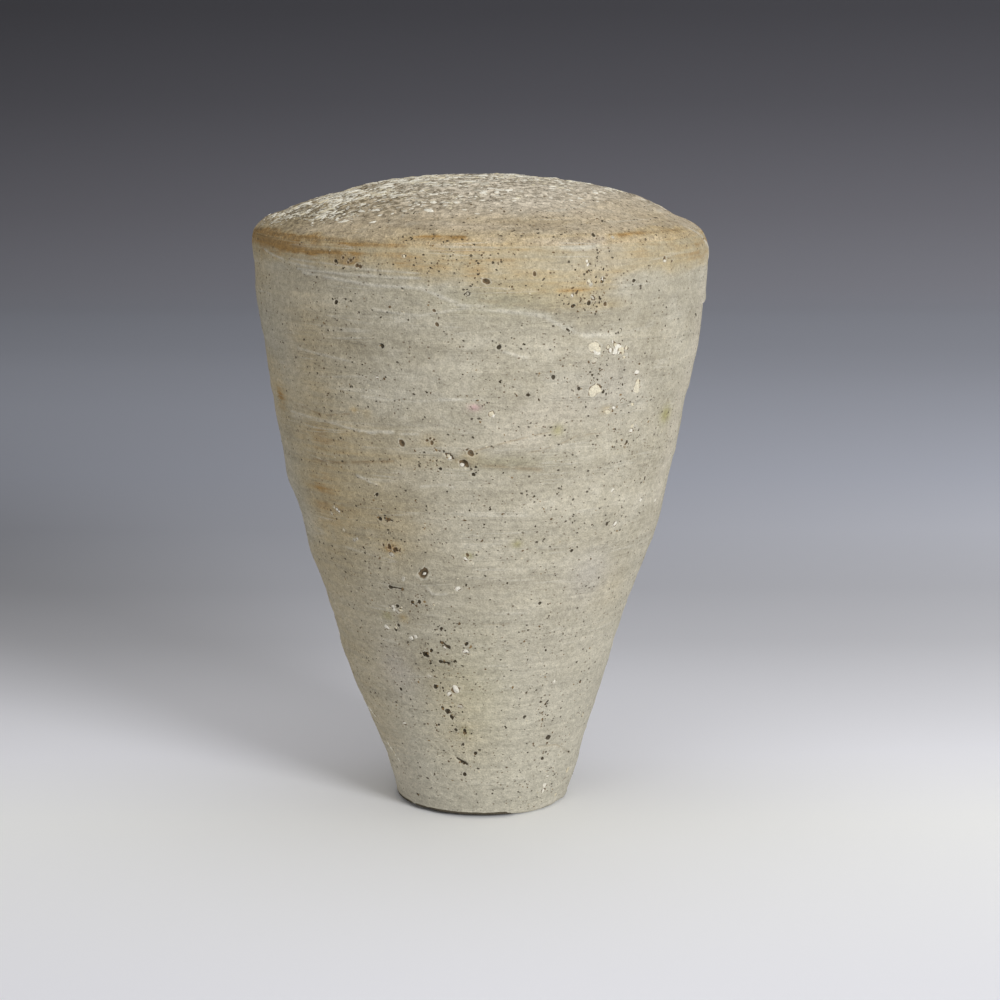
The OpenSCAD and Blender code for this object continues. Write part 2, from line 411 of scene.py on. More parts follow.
# White lime in the clay: x, y, size
LIME = [
    (595, 348, 3.1), (597, 352, 1.9), (610, 350, 1.4), (615, 349, 1.9), (620, 349, 1.7), (625, 348, 1.2),
    (614, 344, 1.1), (612, 342, 0.8), (623, 357, 1.0), (625, 355, 1.0), (594, 360, 1.4), (593, 390, 3.3),
    (597, 389, 2.6), (636, 387, 2.8), (637, 382, 1.8), (636, 372, 1.4), (607, 412, 1.6), (613, 407, 1.0),
    (621, 401, 1.3), (632, 404, 1.0), (631, 431, 1.2), (632, 427, 1.2), (636, 426, 1.2), (638, 429, 0.8),
    (491, 414, 1.5), (493, 416, 0.9), (393, 606, 0.9), (394, 609, 1.1), (397, 611, 1.3), (400, 610, 1.1),
    (401, 607, 0.8), (387, 627, 1.4), (396, 627, 0.8), (404, 578, 1.1), (391, 554, 1.3), (411, 637, 1.2),
    (415, 636, 1.0), (465, 651, 1.4), (449, 693, 1.4), (455, 689, 2.4), (460, 706, 1.4), (404, 723, 1.1),
    (336, 506, 0.9), (338, 508, 0.9), (340, 510, 0.8), (333, 512, 1.0), (344, 529, 0.9), (354, 540, 1.0),
    (357, 538, 0.8), (465, 559, 1.1), (470, 564, 1.6), (457, 588, 1.4), (612, 490, 1.1), (613, 495, 0.8),
    (614, 523, 1.4), (639, 499, 1.2), (654, 501, 1.0), (555, 682, 1.0), (554, 684, 0.8), (583, 715, 1.1),
    (565, 769, 2.1), (564, 774, 2.2), (543, 785, 1.6), (542, 790, 1.5), (554, 794, 1.1), (546, 776, 0.9),
    (590, 284, 1.1), (588, 281, 1.0), (601, 278, 1.0), (571, 295, 0.8), (592, 298, 1.1), (462, 465, 1.1),
    (448, 456, 1.1), (450, 458, 0.9), (429, 676, 1.1), (445, 647, 0.8), (399, 767, 0.8), (377, 377, 0.8),
    (586, 265, 0.8), (585, 262, 0.7), (611, 240, 0.9), (663, 261, 0.9), (405, 257, 0.8), (434, 605, 0.8),
    (424, 573, 1.1), (617, 346, 1.5), (622, 352, 1.2), (607, 347, 1.2), (618, 352, 1.0), (613, 353, 0.9),
]
# Lines of pixels that are carved as well as pale or brown
RIGHT_SLANT = [(474, 451), (487, 447), (512, 441), (535, 435), (554, 431)]
RIGHT_SLANT_BELOW = [(529, 452), (554, 446), (577, 436), (601, 433)]
LEFT_GROOVE = [(295, 405), (306, 407), (315, 412), (326, 415), (349, 414)]
LEFT_FLAKE = [(357, 475), (366, 479), (371, 483), (376, 484)]
FOOT_CRACK = [(538, 747), (547, 746), (556, 745), (562, 749), (569, 753)]
LOW_LINE = [(481, 624), (495, 624), (508, 623)]
LOW_FLAKE = [(426, 586), (432, 593), (441, 594), (446, 593)]
UNDER_BAND = [(297, 268), (328, 272), (358, 275), (391, 277), (420, 278)]
UNDER_BAND_BELOW = [(302, 272), (329, 277), (348, 281), (373, 285), (420, 288)]
BAND_TIP = [(268, 250), (280, 257), (292, 263)]
BAND_LAP = [(373, 309), (391, 312), (420, 315)]
LEFT_WIPE = [(297, 348), (311, 352), (326, 356), (354, 362)]
MIDDLE_WIPE = [(360, 431), (376, 431), (393, 431)]
RIGHT_WIPE = [(503, 351), (516, 355), (527, 357)]
SHOULDER_CHIP = [(701, 243), (705, 250), (707, 258)]
FOOT_WIPE = [(511, 779), (517, 779), (523, 777)]
LONG_WIPE = [(291, 410), (325, 419), (369, 433), (418, 434)]
HIGH_WIPE = [(362, 396), (406, 402), (461, 399)]
# Scores and cracks as lines of pixels, with their half width and depth in millimetres. Ridges have a minus
SCORES = [
    (RIGHT_SLANT + [(592, 419)], 0.5, 0.12),
    (RIGHT_SLANT_BELOW, 0.5, 0.1),
    (LEFT_GROOVE, 0.7, 0.2),
    (LEFT_FLAKE, 0.6, -0.22),
    (FOOT_CRACK, 0.4, 0.3),
    ([(456, 759), (466, 765)], 0.5, 0.5),
    (LOW_LINE, 0.5, 0.16),
    (LOW_FLAKE, 0.6, -0.2),
    (UNDER_BAND, 0.6, -0.16),
    (UNDER_BAND_BELOW, 0.5, -0.16),
    ([(300, 270), (329, 275), (358, 279), (391, 281), (420, 283)], 0.5, 0.12),
    (BAND_TIP, 0.6, -0.15),
    (BAND_LAP, 0.6, -0.12),
    (LEFT_WIPE, 0.6, -0.12),
    (MIDDLE_WIPE, 0.6, -0.1),
    (RIGHT_WIPE, 0.5, -0.14),
    ([(442, 643), (445, 645), (449, 648)], 0.4, 0.4),
    ([(439, 661), (444, 662), (449, 663)], 0.3, 0.36),
    ([(532, 671), (542, 670), (552, 670)], 0.5, 0.14),
    ([(590, 222), (594, 219), (599, 219), (605, 223)], 0.5, 0.3),
    ([(446, 454), (451, 456), (453, 459)], 0.5, 0.45),
    ([(460, 462), (464, 461), (467, 467)], 0.6, 0.55),
    (SHOULDER_CHIP, 0.6, -0.2),
    ([(686, 243), (694, 244), (701, 241)], 0.6, 0.25),
    ([(441, 297), (449, 299), (460, 303)], 0.6, -0.2),
    ([(400, 299), (412, 303), (420, 307)], 0.5, 0.16),
    (FOOT_WIPE, 0.5, -0.2),
    (LONG_WIPE, 0.7, -0.18),
    (HIGH_WIPE, 0.6, -0.12),
    ([(384, 518), (392, 520)], 0.35, 0.45),
    ([(391, 587), (403, 589)], 0.35, 0.45),
]
# Pale and brown strands of wiped clay: lines of pixels, half width in millimetres, strength
PALE_STRANDS = [
    (UNDER_BAND, 0.4, 0.9),
    (UNDER_BAND_BELOW + [(441, 297)], 0.5, 1.0),
    (BAND_TIP + [(320, 268)], 0.35, 0.8),
    (BAND_LAP + [(470, 308)], 0.4, 0.7),
    (LEFT_WIPE, 0.4, 0.6),
    ([(441, 297), (470, 308), (501, 311), (543, 316), (565, 328)], 0.6, 0.9),
    ([(439, 399), (460, 399), (480, 400)], 0.4, 0.7),
    (LEFT_FLAKE, 0.4, 0.9),
    (LOW_FLAKE, 0.4, 0.9),
    (MIDDLE_WIPE, 0.4, 0.8),
    (RIGHT_WIPE, 0.4, 0.8),
    (SHOULDER_CHIP, 0.6, 1.0),
    ([(290, 258), (330, 264), (380, 270), (430, 274)], 0.3, 0.6),
    (FOOT_WIPE, 0.4, 0.9),
    # Pale line along the right contour at the shoulder: partly a chip, partly a painted rim highlight
    ([(680, 226), (690, 233), (699, 240), (705, 249), (707, 262)], 0.5, 0.9),
    ([(420, 488), (445, 486), (454, 489)], 0.4, 0.7),
    (LONG_WIPE, 0.4, 0.7),
    (HIGH_WIPE, 0.4, 0.6),
]
BROWN_STRANDS = [
    ([(256, 232), (268, 234), (302, 240), (336, 242), (380, 247)], 0.5, 0.9),
    ([(258, 237), (293, 246), (311, 251), (342, 253)], 0.4, 0.8),
    ([(270, 240), (300, 246), (330, 248), (360, 250)], 0.3, 0.5),
    ([(313, 459), (325, 461), (340, 462), (372, 461), (393, 461)], 0.35, 0.8),
    ([(452, 459), (470, 465), (506, 467), (540, 470)], 0.6, 0.5),
    (RIGHT_SLANT, 0.25, 0.5),
    (RIGHT_SLANT_BELOW, 0.25, 0.4),
    (LEFT_GROOVE, 0.3, 0.6),
    (FOOT_CRACK, 0.25, 0.5),
    ([(470, 249), (520, 252), (570, 254), (620, 247), (670, 246)], 0.4, 0.4),
    (LOW_LINE, 0.3, 0.5),
    ([(480, 300), (520, 305), (560, 312)], 0.6, 0.3),
]
# Scratches that left a thin white edge: start and end
WHITE_SCRATCHES = [((385, 742), (397, 761)), ((368, 706), (374, 716)), ((333, 634), (337, 648))]
# Size from which a dark mark is a pit, a pit's depth as a share of its size, its most and its unevenness,
# the most that a pit is stretched, and the depth of a brown mark as a share of its size
PIT_FROM = 1.1
PIT_DEPTH = 0.38
PIT_DEEPEST = 0.8
PIT_UNEVEN = (0.75, 1.1)
PIT_STRETCH = 1.45
BROWN_DEPTH = 0.25
# Depth from which a score is a crack with painted shade in it
CRACK_FROM = 0.35
# Crumbs by a dark mark: how many, how far off and how large, as shares of its size
CRUMBS = 2
CRUMB_REACH = 0.6
CRUMB_SIZE = (0.4, 0.7)
# Grains of a cluster: their size, its spread, their rust, and how far they lie out as a share of the cluster
CLUSTER_GRAIN = 0.62
CLUSTER_SPREAD = 0.35
CLUSTER_RUST = 0.4
CLUSTER_REACH = 0.55
# Scattered marks: the most for a stray grain, the spread of the sizes, and the share that is rusty
GRAIN_MOST = 1.0
SCATTER_SPREAD = 0.36
RUST_SHARE = 0.25
# Lime: the size from which a grain fills its bed, the bed of a smaller one as a share of its size, the beds'
# depth, and the usual size of scattered grains, its spread and its most
LARGE_LIME = 1.6
BED = 1.2
BED_DEPTH = 0.14
LIME_SIZE = 1.0
LIME_SPREAD = 0.4
LIME_MOST = 2.8

# Places of the marks: those of the photograph, then seeded ones that carry on round the vessel

RNG = np.random.default_rng(41)
BACK_SIDE = (math.radians(80), math.radians(280))
ALL_ROUND = (-math.pi, math.pi)
Pit = namedtuple("Pit", "phi s radius depth rust stretch tilt")
Score = namedtuple("Score", "places half_width depth")


def score(pixels, half_width, depth):
    """A line of pixels as a score on the skin."""
    return Score([spot(x, y) for x, y in pixels], half_width, depth)


class Marks:
    """Pits, grit, lime and scores on the skin. A mark's angle and place come first, then its radius."""

    def __init__(self):
        self.pits = []
        self.grit = []
        self.lime = []
        self.scores = []

    def pit(self, phi, s, radius, rust, depth):
        """A hole, stretched and turned at random."""
        stretch = RNG.uniform(1, PIT_STRETCH)
        self.pits.append(Pit(phi, s, radius, depth, rust, stretch, RNG.uniform(0, math.pi)))

    def dark(self, phi, s, size, rust):
        """A pit where the mark is large, a grain of grit where it is small."""
        if size < PIT_FROM:
            self.grit.append((phi, s, size / 2))
        else:
            depth = min(PIT_DEPTH * size, PIT_DEEPEST) * RNG.uniform(*PIT_UNEVEN)
            self.pit(phi, s, size / 2, rust, depth)

    def grain_of_lime(self, phi, s, size):
        """White lime in a shallow bed whose wall is painted brown, a painted shadow that shows as a dark rim
        round a smaller grain.
        """
        self.lime.append((phi, s, size / 2))
        # Rust 1 paints the bed's wall brown as painted shade
        self.pit(phi, s, (BED if size < LARGE_LIME else 1.0) * size / 2, 1.0, BED_DEPTH)

    def from_photo(self):
        """Marks that the photograph shows, with crumbs by every dark one."""
        for x, y, size in DARK_MARKS:
            phi, s = spot(x, y)
            self.dark(phi, s, size, 0.0)
            for _ in range(CRUMBS):
                across, up = RNG.normal(0, CRUMB_REACH * size, 2)
                self.dark(phi + across / core(s)[0], s + up, size * RNG.uniform(*CRUMB_SIZE), 0.0)
        for x, y, size in BROWN_MARKS:
            self.pit(*spot(x, y), size / 2, 1.0, BROWN_DEPTH * size)
        for x, y, size in LIME:
            self.grain_of_lime(*spot(x, y), size)
        for x, y, wide, high, count in GRIT_CLUSTERS:
            for _ in range(count):
                at = spot(x + wide * RNG.normal(0, CLUSTER_REACH), y + high * RNG.normal(0, CLUSTER_REACH))
                size = CLUSTER_GRAIN * math.exp(RNG.normal(0, CLUSTER_SPREAD))
                self.dark(*at, min(size, GRAIN_MOST), CLUSTER_RUST)
        self.scores = [score(*row) for row in SCORES]

    def scattered(self, count, sides, low, high, size, most):
        """Dark marks at random between two places, about size across and never over most."""
        for _ in range(count):
            at = turned(RNG.uniform(*sides)), RNG.uniform(low, high)
            across = min(size * math.exp(RNG.normal(0, SCATTER_SPREAD)), most)
            self.dark(*at, across, float(RNG.random() < RUST_SHARE))

    def scattered_lime(self, count, sides, low, high):
        """Grains of lime at random between two places."""
        for _ in range(count):
            at = turned(RNG.uniform(*sides)), RNG.uniform(low, high)
            self.grain_of_lime(*at, min(LIME_SIZE * math.exp(RNG.normal(0, LIME_SPREAD)), LIME_MOST))


marks = Marks()
marks.from_photo()
marks.scattered(1350, ALL_ROUND, low=4, high=180, size=0.55, most=GRAIN_MOST)
marks.scattered(700, BACK_SIDE, low=4, high=172, size=0.65, most=2.4)
marks.scattered(800, ALL_ROUND, low=178, high=240, size=0.6, most=GRAIN_MOST)
marks.scattered_lime(75, BACK_SIDE, low=6, high=172)
# Strands as scores that carve nothing, with their strengths
PALE_LINES = [(score(pixels, wide, 0), strength) for pixels, wide, strength in PALE_STRANDS]
BROWN_LINES = [(score(pixels, wide, 0), strength) for pixels, wide, strength in BROWN_STRANDS]
# Unevenness of the marks' edges
RAGGED_EDGE = 0.3
# A pit's profile, in shares of its radius: between which its wall slopes, and the small rim that stands up
# round it
PIT_WALL = (0.5, 1.1)
RIM_LIFT = 0.05
RIM_AT = 1.3
RIM_REACH = 0.25
# Distance over which a hole or crack paints shade on the clay, as shares of a pit's radius and of a crack's
# half width
PIT_SHADE = 1.5
CRACK_SHADE = 1.2
# How far round a pit and a line the cells are split, as shares of the same
PIT_FINE = 1.35
LINE_FINE = 1.3


def score_distance(line, phi, s, r):
    """Distance in millimetres from places on the skin to a score's line."""
    nearest = np.full(s.shape, np.inf)
    for (phi_0, s_0), (phi_1, s_1) in zip(line.places[:-1], line.places[1:]):
        wide = (phi_1 - phi_0) * r
        high = s_1 - s_0
        across = turned(phi - phi_0) * r
        share = np.clip((across * wide + (s - s_0) * high) / (wide * wide + high * high), 0, 1)
        nearest = np.minimum(nearest, np.hypot(across - share * wide, s - s_0 - share * high))
    return nearest


def near_score(line, phi, s, r, reach):
    """Indices of the places inside a box round a score, widened by reach."""
    angles, places = zip(*line.places)
    side = (min(angles) + max(angles)) / 2
    half = (max(angles) - min(angles)) / 2
    inside = (s > min(places) - reach) & (s < max(places) + reach)
    return np.flatnonzero(inside & (np.abs(turned(phi - side)) < half + reach / r))


def near_pit(pit, phi, s, r, reach):
    """Indices of the places inside a box round a pit."""
    inside = np.abs(s - pit.s) < reach
    return np.flatnonzero(inside & (np.abs(turned(phi - pit.phi)) * r < reach))


def carved(phi, s):
    """Lift, closeness to a hole (0.5 at its edge) and rust that pits and scores give to places. The
    closeness becomes painted shade in holes and cracks.
    """
    r = core(s)[0]
    lift, close, rust = (np.zeros_like(s) for _ in range(3))
    ragged = 1 + RAGGED_EDGE * noise(phi, s, 0.8, 0.8, 12)
    for pit in marks.pits:
        at = near_pit(pit, phi, s, r, 2 * pit.radius * pit.stretch)
        across = turned(phi[at] - pit.phi) * r[at]
        up = s[at] - pit.s
        long = (across * math.cos(pit.tilt) + up * math.sin(pit.tilt)) / math.sqrt(pit.stretch)
        wide = (up * math.cos(pit.tilt) - across * math.sin(pit.tilt)) * math.sqrt(pit.stretch)
        away = np.hypot(long, wide) / pit.radius * ragged[at]
        lift[at] -= pit.depth * (1 - smooth(away, *PIT_WALL)) - RIM_LIFT * bell(away - RIM_AT, RIM_REACH)
        near = np.clip(PIT_SHADE - away, 0, PIT_SHADE)
        rust[at] = np.where(near > close[at], pit.rust, rust[at])
        close[at] = np.maximum(close[at], near)
    for line in marks.scores:
        at = near_score(line, phi, s, r, 4 * line.half_width)
        away = score_distance(line, phi[at], s[at], r[at]) / line.half_width * ragged[at]
        lift[at] -= line.depth * np.exp(-away ** 2)
        if line.depth >= CRACK_FROM:
            close[at] = np.maximum(close[at], np.clip(CRACK_SHADE - away, 0, 1))
    return lift, close, rust


def near_marks(phi, s, cell):
    """Which cells of the skin, given by their middles and size, lie next to a carved mark."""
    r = core(s)[0]
    found = np.zeros(s.shape, bool)
    for pit in marks.pits:
        reach = PIT_FINE * pit.radius * math.sqrt(pit.stretch) + cell / 2
        found[near_pit(pit, phi, s, r, reach)] = True
    for line in marks.scores + [line for line, _ in PALE_LINES + BROWN_LINES]:
        at = near_score(line, phi, s, r, 3 * line.half_width)
        close = score_distance(line, phi[at], s[at], r[at]) < LINE_FINE * line.half_width + cell / 2
        found[at[close]] = True
    return found


# Stains, and some painted shade and light, as values from 0 to 1 on the skin

# Warm band at the shoulder: x, upper and lower y in pixels, strength. Behind: degrees, upper and lower
# place, strength
WARM_FRONT = [
    (257, 231, 250, 1.0), (285, 232, 259, 1.0), (320, 238, 264, 0.92), (350, 242, 268, 0.8),
    (390, 243, 274, 0.7), (440, 240, 284, 0.62), (490, 245, 294, 0.58), (540, 248, 304, 0.55),
    (580, 253, 312, 0.58), (620, 234, 274, 0.6), (660, 229, 273, 0.68), (695, 234, 271, 0.75),
]
WARM_BEHIND = [(-180, 182, 166, 0.5), (-130, 181, 170, 0.7), (105, 182, 170, 0.5), (140, 182, 166, 0.5)]
# Warm patches: x and y in pixels, half width and half height in millimetres, strength
WARM_PATCHES = [
    (330, 490, 15, 14, 0.3), (316, 475, 7, 8, 0.1), (372, 447, 18, 6, 0.3), (295, 430, 8, 14, 0.2),
    (350, 262, 4, 1.8, 0.6), (392, 549, 3, 2, 0.6), (471, 456, 3, 1.8, 0.5), (430, 441, 2.4, 1.8, 0.4),
    (430, 462, 14, 1.6, 0.2), (605, 303, 6, 1.6, 0.4),
    (640, 222, 18, 7, 0.12), (300, 224, 16, 4, 0.25), (403, 617, 1.6, 1.2, 0.7),
    (355, 409, 1.6, 1.2, 0.5), (367, 413, 1.6, 1.2, 0.5), (395, 535, 9, 14, 0.2), (305, 360, 12, 16, 0.25),
    (612, 590, 8, 10, 0.15), (455, 720, 10, 18, 0.2), (585, 300, 5, 4, 0.2), (606, 410, 2, 1.2, 0.6),
    (325, 432, 14, 6, 0.3), (280, 398, 4, 4, 0.5), (335, 515, 12, 14, 0.18), (395, 515, 14, 12, 0.12),
    (560, 222, 22, 3, 0.2), (600, 233, 24, 2.4, 0.12), (530, 240, 30, 2, 0.3), (655, 214, 10, 5, 0.15),
    (615, 207, 12, 4, 0.2), (430, 236, 26, 2.4, 0.25), (470, 222, 20, 2.5, 0.2),
]
# Darker patches: partly soiling, partly painted shade, most of them on the shaded left side
SOIL_AND_SHADE_PATCHES = [
    (397, 515, 17, 15, 0.6), (352, 478, 16, 12, 0.3), (410, 630, 8, 20, 0.55), (436, 668, 8, 9, 0.35),
    (347, 343, 5, 3, 0.4), (345, 555, 9, 9, 0.3), (386, 445, 14, 7, 0.35), (560, 300, 12, 8, 0.3),
    (655, 330, 7, 9, 0.25), (430, 360, 9, 5, 0.25), (545, 480, 14, 4, 0.25), (265, 240, 6, 4, 0.8),
    (305, 216, 18, 8, 0.8), (345, 276, 15, 4, 0.35), (318, 335, 13, 8, 0.3), (290, 440, 8, 9, 0.3),
    (380, 418, 14, 6, 0.25), (490, 300, 14, 4, 0.3), (675, 262, 9, 4, 0.3), (690, 320, 5, 10, 0.2),
    (500, 463, 18, 2.4, 0.3), (365, 600, 7, 10, 0.2), (455, 600, 10, 8, 0.2), (545, 740, 8, 6, 0.2),
    (640, 330, 16, 14, 0.18), (580, 350, 14, 8, 0.22), (285, 400, 8, 20, 0.2), (430, 420, 16, 10, 0.15),
    (316, 500, 6, 8, 0.3), (360, 530, 10, 8, 0.2), (640, 470, 10, 6, 0.2), (610, 290, 10, 5, 0.2),
    (375, 355, 10, 8, 0.2), (500, 580, 12, 8, 0.15),
]
# Paler patches: the two on the right edge are a painted highlight, and the one low on the foot's left is
# painted light on its shaded side
PALE_AND_LIT_PATCHES = [
    (525, 203, 12, 8, 0.6), (400, 775, 9, 10, 0.5), (550, 412, 12, 5, 0.35), (520, 440, 10, 4, 0.3),
    (697, 330, 6, 26, 0.4), (668, 450, 5, 22, 0.35),
]
# Patches that turn grey-violet, small olive ones, and one pink spot
COOL_PATCHES = [
    (400, 668, 7, 8, 0.8), (590, 575, 8, 8, 0.5), (610, 385, 14, 10, 0.3), (606, 262, 9, 8, 0.35),
]
OLIVE_PATCHES = [
    (667, 415, 3.2, 2.6, 1.0), (517, 545, 1.4, 1.2, 0.8),
    (500, 463, 16, 2.2, 0.22), (557, 430, 1.8, 1.6, 0.7), (500, 300, 18, 5, 0.22),
    (470, 700, 12, 22, 0.25), (387, 615, 2, 1.6, 0.6), (468, 556, 1.4, 1.0, 0.8), (464, 732, 1.2, 1.6, 0.7),
]
PINK_SPOTS = [(474, 407, 1.5, 0.9, 1.0)]


def patches(phi, s, listed):
    """Soft patches, added up."""
    total = np.zeros_like(s)
    r = core(s)[0]
    for x, y, wide, high, strength in listed:
        angle, place = spot(x, y)
        total += strength * np.exp(-(turned(phi - angle) * r / wide) ** 2 - ((s - place) / high) ** 2)
    return total


def warm_stations():
    """Upper place, lower place and strength of the warm band, each as stations round the vessel."""
    rows = list(WARM_BEHIND)
    for x, upper, lower, strength in WARM_FRONT:
        phi, high = spot(x, upper)
        rows.append((math.degrees(phi), high, spot(x, lower)[1], strength))
    rows.sort()
    return [[(row[0], row[i]) for row in rows] for i in (1, 2, 3)]


WARM_HIGH, WARM_LOW, WARM_STRENGTH = warm_stations()
# Heights over which the warm band fades below and above, its tone on the left, which is painted shade, and
# behind, and the most of it
WARM_FADE_BELOW = (-2.0, 4.5)
WARM_FADE_ABOVE = (-1.2, 1.2)
WARM_LEFT_SHADE = 0.4
WARM_BACK = 0.35
WARM_MOST = 1.1


def warm(phi, s):
    """Golden brown stain: the band at the shoulder, patches, a faint tone behind, and a tone on the left
    that is painted shade.
    """
    wobble = 1.4 * noise(phi, s, 9, 4, 13) + 0.8 * noise(phi, s, 2.5, 1.6, 24)
    below = smooth(s + wobble - around(phi, WARM_LOW), *WARM_FADE_BELOW)
    above = 1 - smooth(s + wobble - around(phi, WARM_HIGH), *WARM_FADE_ABOVE)
    ripple = 1 + 0.34 * noise(phi, s, 30, 1.1, 14) + 0.2 * noise(phi, s, 5, 2, 25)
    band = around(phi, WARM_STRENGTH) * below * above
    # Painted shade: a warm darker tone towards the shaded left side
    left = WARM_LEFT_SHADE * smooth(-np.sin(phi), 0.35, 1.0) * smooth(noise(phi, s, 24, 18, 26), -0.7, 0.4)
    back = WARM_BACK * smooth(-np.cos(phi), 0, 0.6) * smooth(noise(phi, s, 30, 26, 15), 0.0, 0.7)
    return np.clip((band + patches(phi, s, WARM_PATCHES)) * ripple + left + back, 0, WARM_MOST)


# Share of the crown that lime crust covers, and the place where the crust starts, round the vessel
CRUST = [(-180, 0.4), (-130, 0.6), (-100, 1.0), (-50, 1.0), (-25, 0.75), (10, 0.55), (40, 0.4), (70, 0.35),
         (85, 0.6), (110, 0.6), (140, 0.4)]
CRUST_FROM = [(-180, 186), (-110, 177), (-80, 175), (-62, 175), (-42, 181), (-15, 191), (20, 195),
              (50, 194), (75, 188), (95, 181), (130, 186)]
CRUST_FADE = 14
# More crust at the top, and the distances from the axis between which it and the paler clay set in
CRUST_TOP = 0.45
CRUST_TOP_R = (40, 8)
PALE_TOP_R = (64, 30)
# Reach of the bare clay above and below the shoulder band's lower edge
BARE_ABOVE = 1.3
BARE_BELOW = 0.5


def crust(phi, s):
    """Pale lime crust: thick on the crown's left and top, thin elsewhere."""
    r = core(s)[0]
    crown = smooth(s - around(phi, CRUST_FROM), 0, CRUST_FADE)
    return np.clip(crown * (around(phi, CRUST) + CRUST_TOP * smooth(r, *CRUST_TOP_R)), 0, 1)


def pale(s):
    """Paler clay towards the crown's middle."""
    return smooth(s, SHOULDER_Z, CROWN_S) * smooth(core(s)[0], *PALE_TOP_R)


def strands(phi, s, listed):
    """Thin broken lines on the skin."""
    r = core(s)[0]
    total = np.zeros_like(s)
    broken = smooth(noise(phi, s, 2.5, 1.2, 28), -1.0, 0.1)
    for line, strength in listed:
        at = near_score(line, phi, s, r, 3 * line.half_width)
        away = score_distance(line, phi[at], s[at], r[at]) / line.half_width
        total[at] += strength * broken[at] * np.exp(-away ** 2)
    return np.clip(total, 0, 1)


def bare(phi, s):
    """Pale bare clay along the shoulder band's lower edge and in wiped strands."""
    from_edge = s - band_edge(phi)
    streaks = smooth(noise(phi, s, 3.5, 1.5, 27), -0.5, 0.4)
    reach = np.where(from_edge > 0, BARE_ABOVE, BARE_BELOW)
    edge = around(phi, BARE_EDGE) * streaks * bell(from_edge, reach)
    return np.maximum(edge, strands(phi, s, PALE_LINES))


# Meshes

def cell_outline(split_sides):
    """Corners of a cell in split steps, with extra points on each side that is split."""
    low, right, high, left = split_sides
    inner = range(1, SPLIT)
    path = [(0, 0)] + [(0, k) for k in inner if low]
    path += [(0, SPLIT)] + [(k, SPLIT) for k in inner if right]
    path += [(SPLIT, SPLIT)] + [(SPLIT, SPLIT - k) for k in inner if high]
    path += [(SPLIT, 0)] + [(SPLIT - k, 0) for k in inner if left]
    return path


def split_cells(fine):
    """Faces of a closed grid whose fine cells are split, as arrays of rows and columns in split steps."""
    sides = [np.roll(fine, 1, 0), np.roll(fine, -1, 1), np.roll(fine, -1, 0), np.roll(fine, 1, 1)]
    groups = []
    for pattern in np.ndindex(2, 2, 2, 2):
        chosen = ~fine
        for side, wanted in zip(sides, pattern):
            chosen = chosen & (side == bool(wanted))
        groups.append((chosen, cell_outline(pattern)))
    for row, column in np.ndindex(SPLIT, SPLIT):
        groups.append((fine, [(row, column), (row, column + 1), (row + 1, column + 1), (row + 1, column)]))
    faces = []
    for chosen, path in groups:
        row, column = (at[:, None] * SPLIT for at in np.nonzero(chosen))
        steps = np.array(path)
        faces.append((row + steps[:, 0], column + steps[:, 1]))
    return [face for face in faces if len(face[0])]


def new_mesh(name, points, loops, sizes, values, uv):
    """An object from points in millimetres, faces as point numbers and sizes, values, and a map."""
    mesh = bpy.data.meshes.new(name)
    mesh.vertices.add(len(points))
    mesh.vertices.foreach_set("co", np.asarray(points * MM, np.float32).ravel())
    mesh.loops.add(len(loops))
    mesh.loops.foreach_set("vertex_index", np.asarray(loops, np.int32))
    mesh.polygons.add(len(sizes))
    mesh.polygons.foreach_set("loop_start", np.concatenate([[0], np.cumsum(sizes)[:-1]]).astype(np.int32))
    mesh.polygons.foreach_set("use_smooth", np.ones(len(sizes), bool))
    mesh.update(calc_edges=True)
    for key, value in values.items():
        layer = mesh.attributes.new(key, "FLOAT", "POINT")
        layer.data.foreach_set("value", np.asarray(value, np.float32).ravel())
    layer = mesh.uv_layers.new(name=UV_NAME)
    layer.uv.foreach_set("vector", np.asarray(uv, np.float32).ravel())
    mesh.set_sharp_from_angle(angle=SHARP_FROM)
    made = bpy.data.objects.new(name, mesh)
    bpy.context.scene.collection.objects.link(made)
    return made


def skin_values(phi, s, close, rust):
    """Values that the clay's material reads at these places."""
    return {
        "warm": warm(phi, s),
        "cool": patches(phi, s, COOL_PATCHES),
        "soil_and_shade": patches(phi, s, SOIL_AND_SHADE_PATCHES),
        "olive": patches(phi, s, OLIVE_PATCHES),
        "pink": patches(phi, s, PINK_SPOTS),
        "crust": crust(phi, s),
        "pale": np.clip(pale(s) + patches(phi, s, PALE_AND_LIT_PATCHES), 0, 1),
        "bare": bare(phi, s),
        "brown": strands(phi, s, BROWN_LINES),
        "pit": close,
        "rust": rust,
    }


def skin(phi, s, lift):
    """Points and values of the worked outside at these places."""
    cut, close, rust = carved(phi, s)
    points = placed(phi, s, lift(phi, s) + relief(phi, s) + seams(phi, s) + cut)
    return points, skin_values(phi, s, close, rust)


def ring(r, z):
    """A plain ring of points, as a function of the angle."""
    return lambda phi: polar(phi, r, np.full_like(phi, z))


def capped(faces, row):
    """The faces without one row of cells, whose two rings get a cap each."""
    kept = []
    for u, v in faces:
        other = u.min(1) != row * SPLIT
        kept.append((u[other], v[other]))
    turn = np.arange(COLUMNS)[None, :] * SPLIT
    kept.append((np.full_like(turn, row * SPLIT), turn))
    kept.append((np.full_like(turn, (row + 1) * SPLIT), turn[:, ::-1]))
    return kept


def no_lift(phi, s):
    """The skin lies on the smooth curve."""
    return np.zeros_like(s)


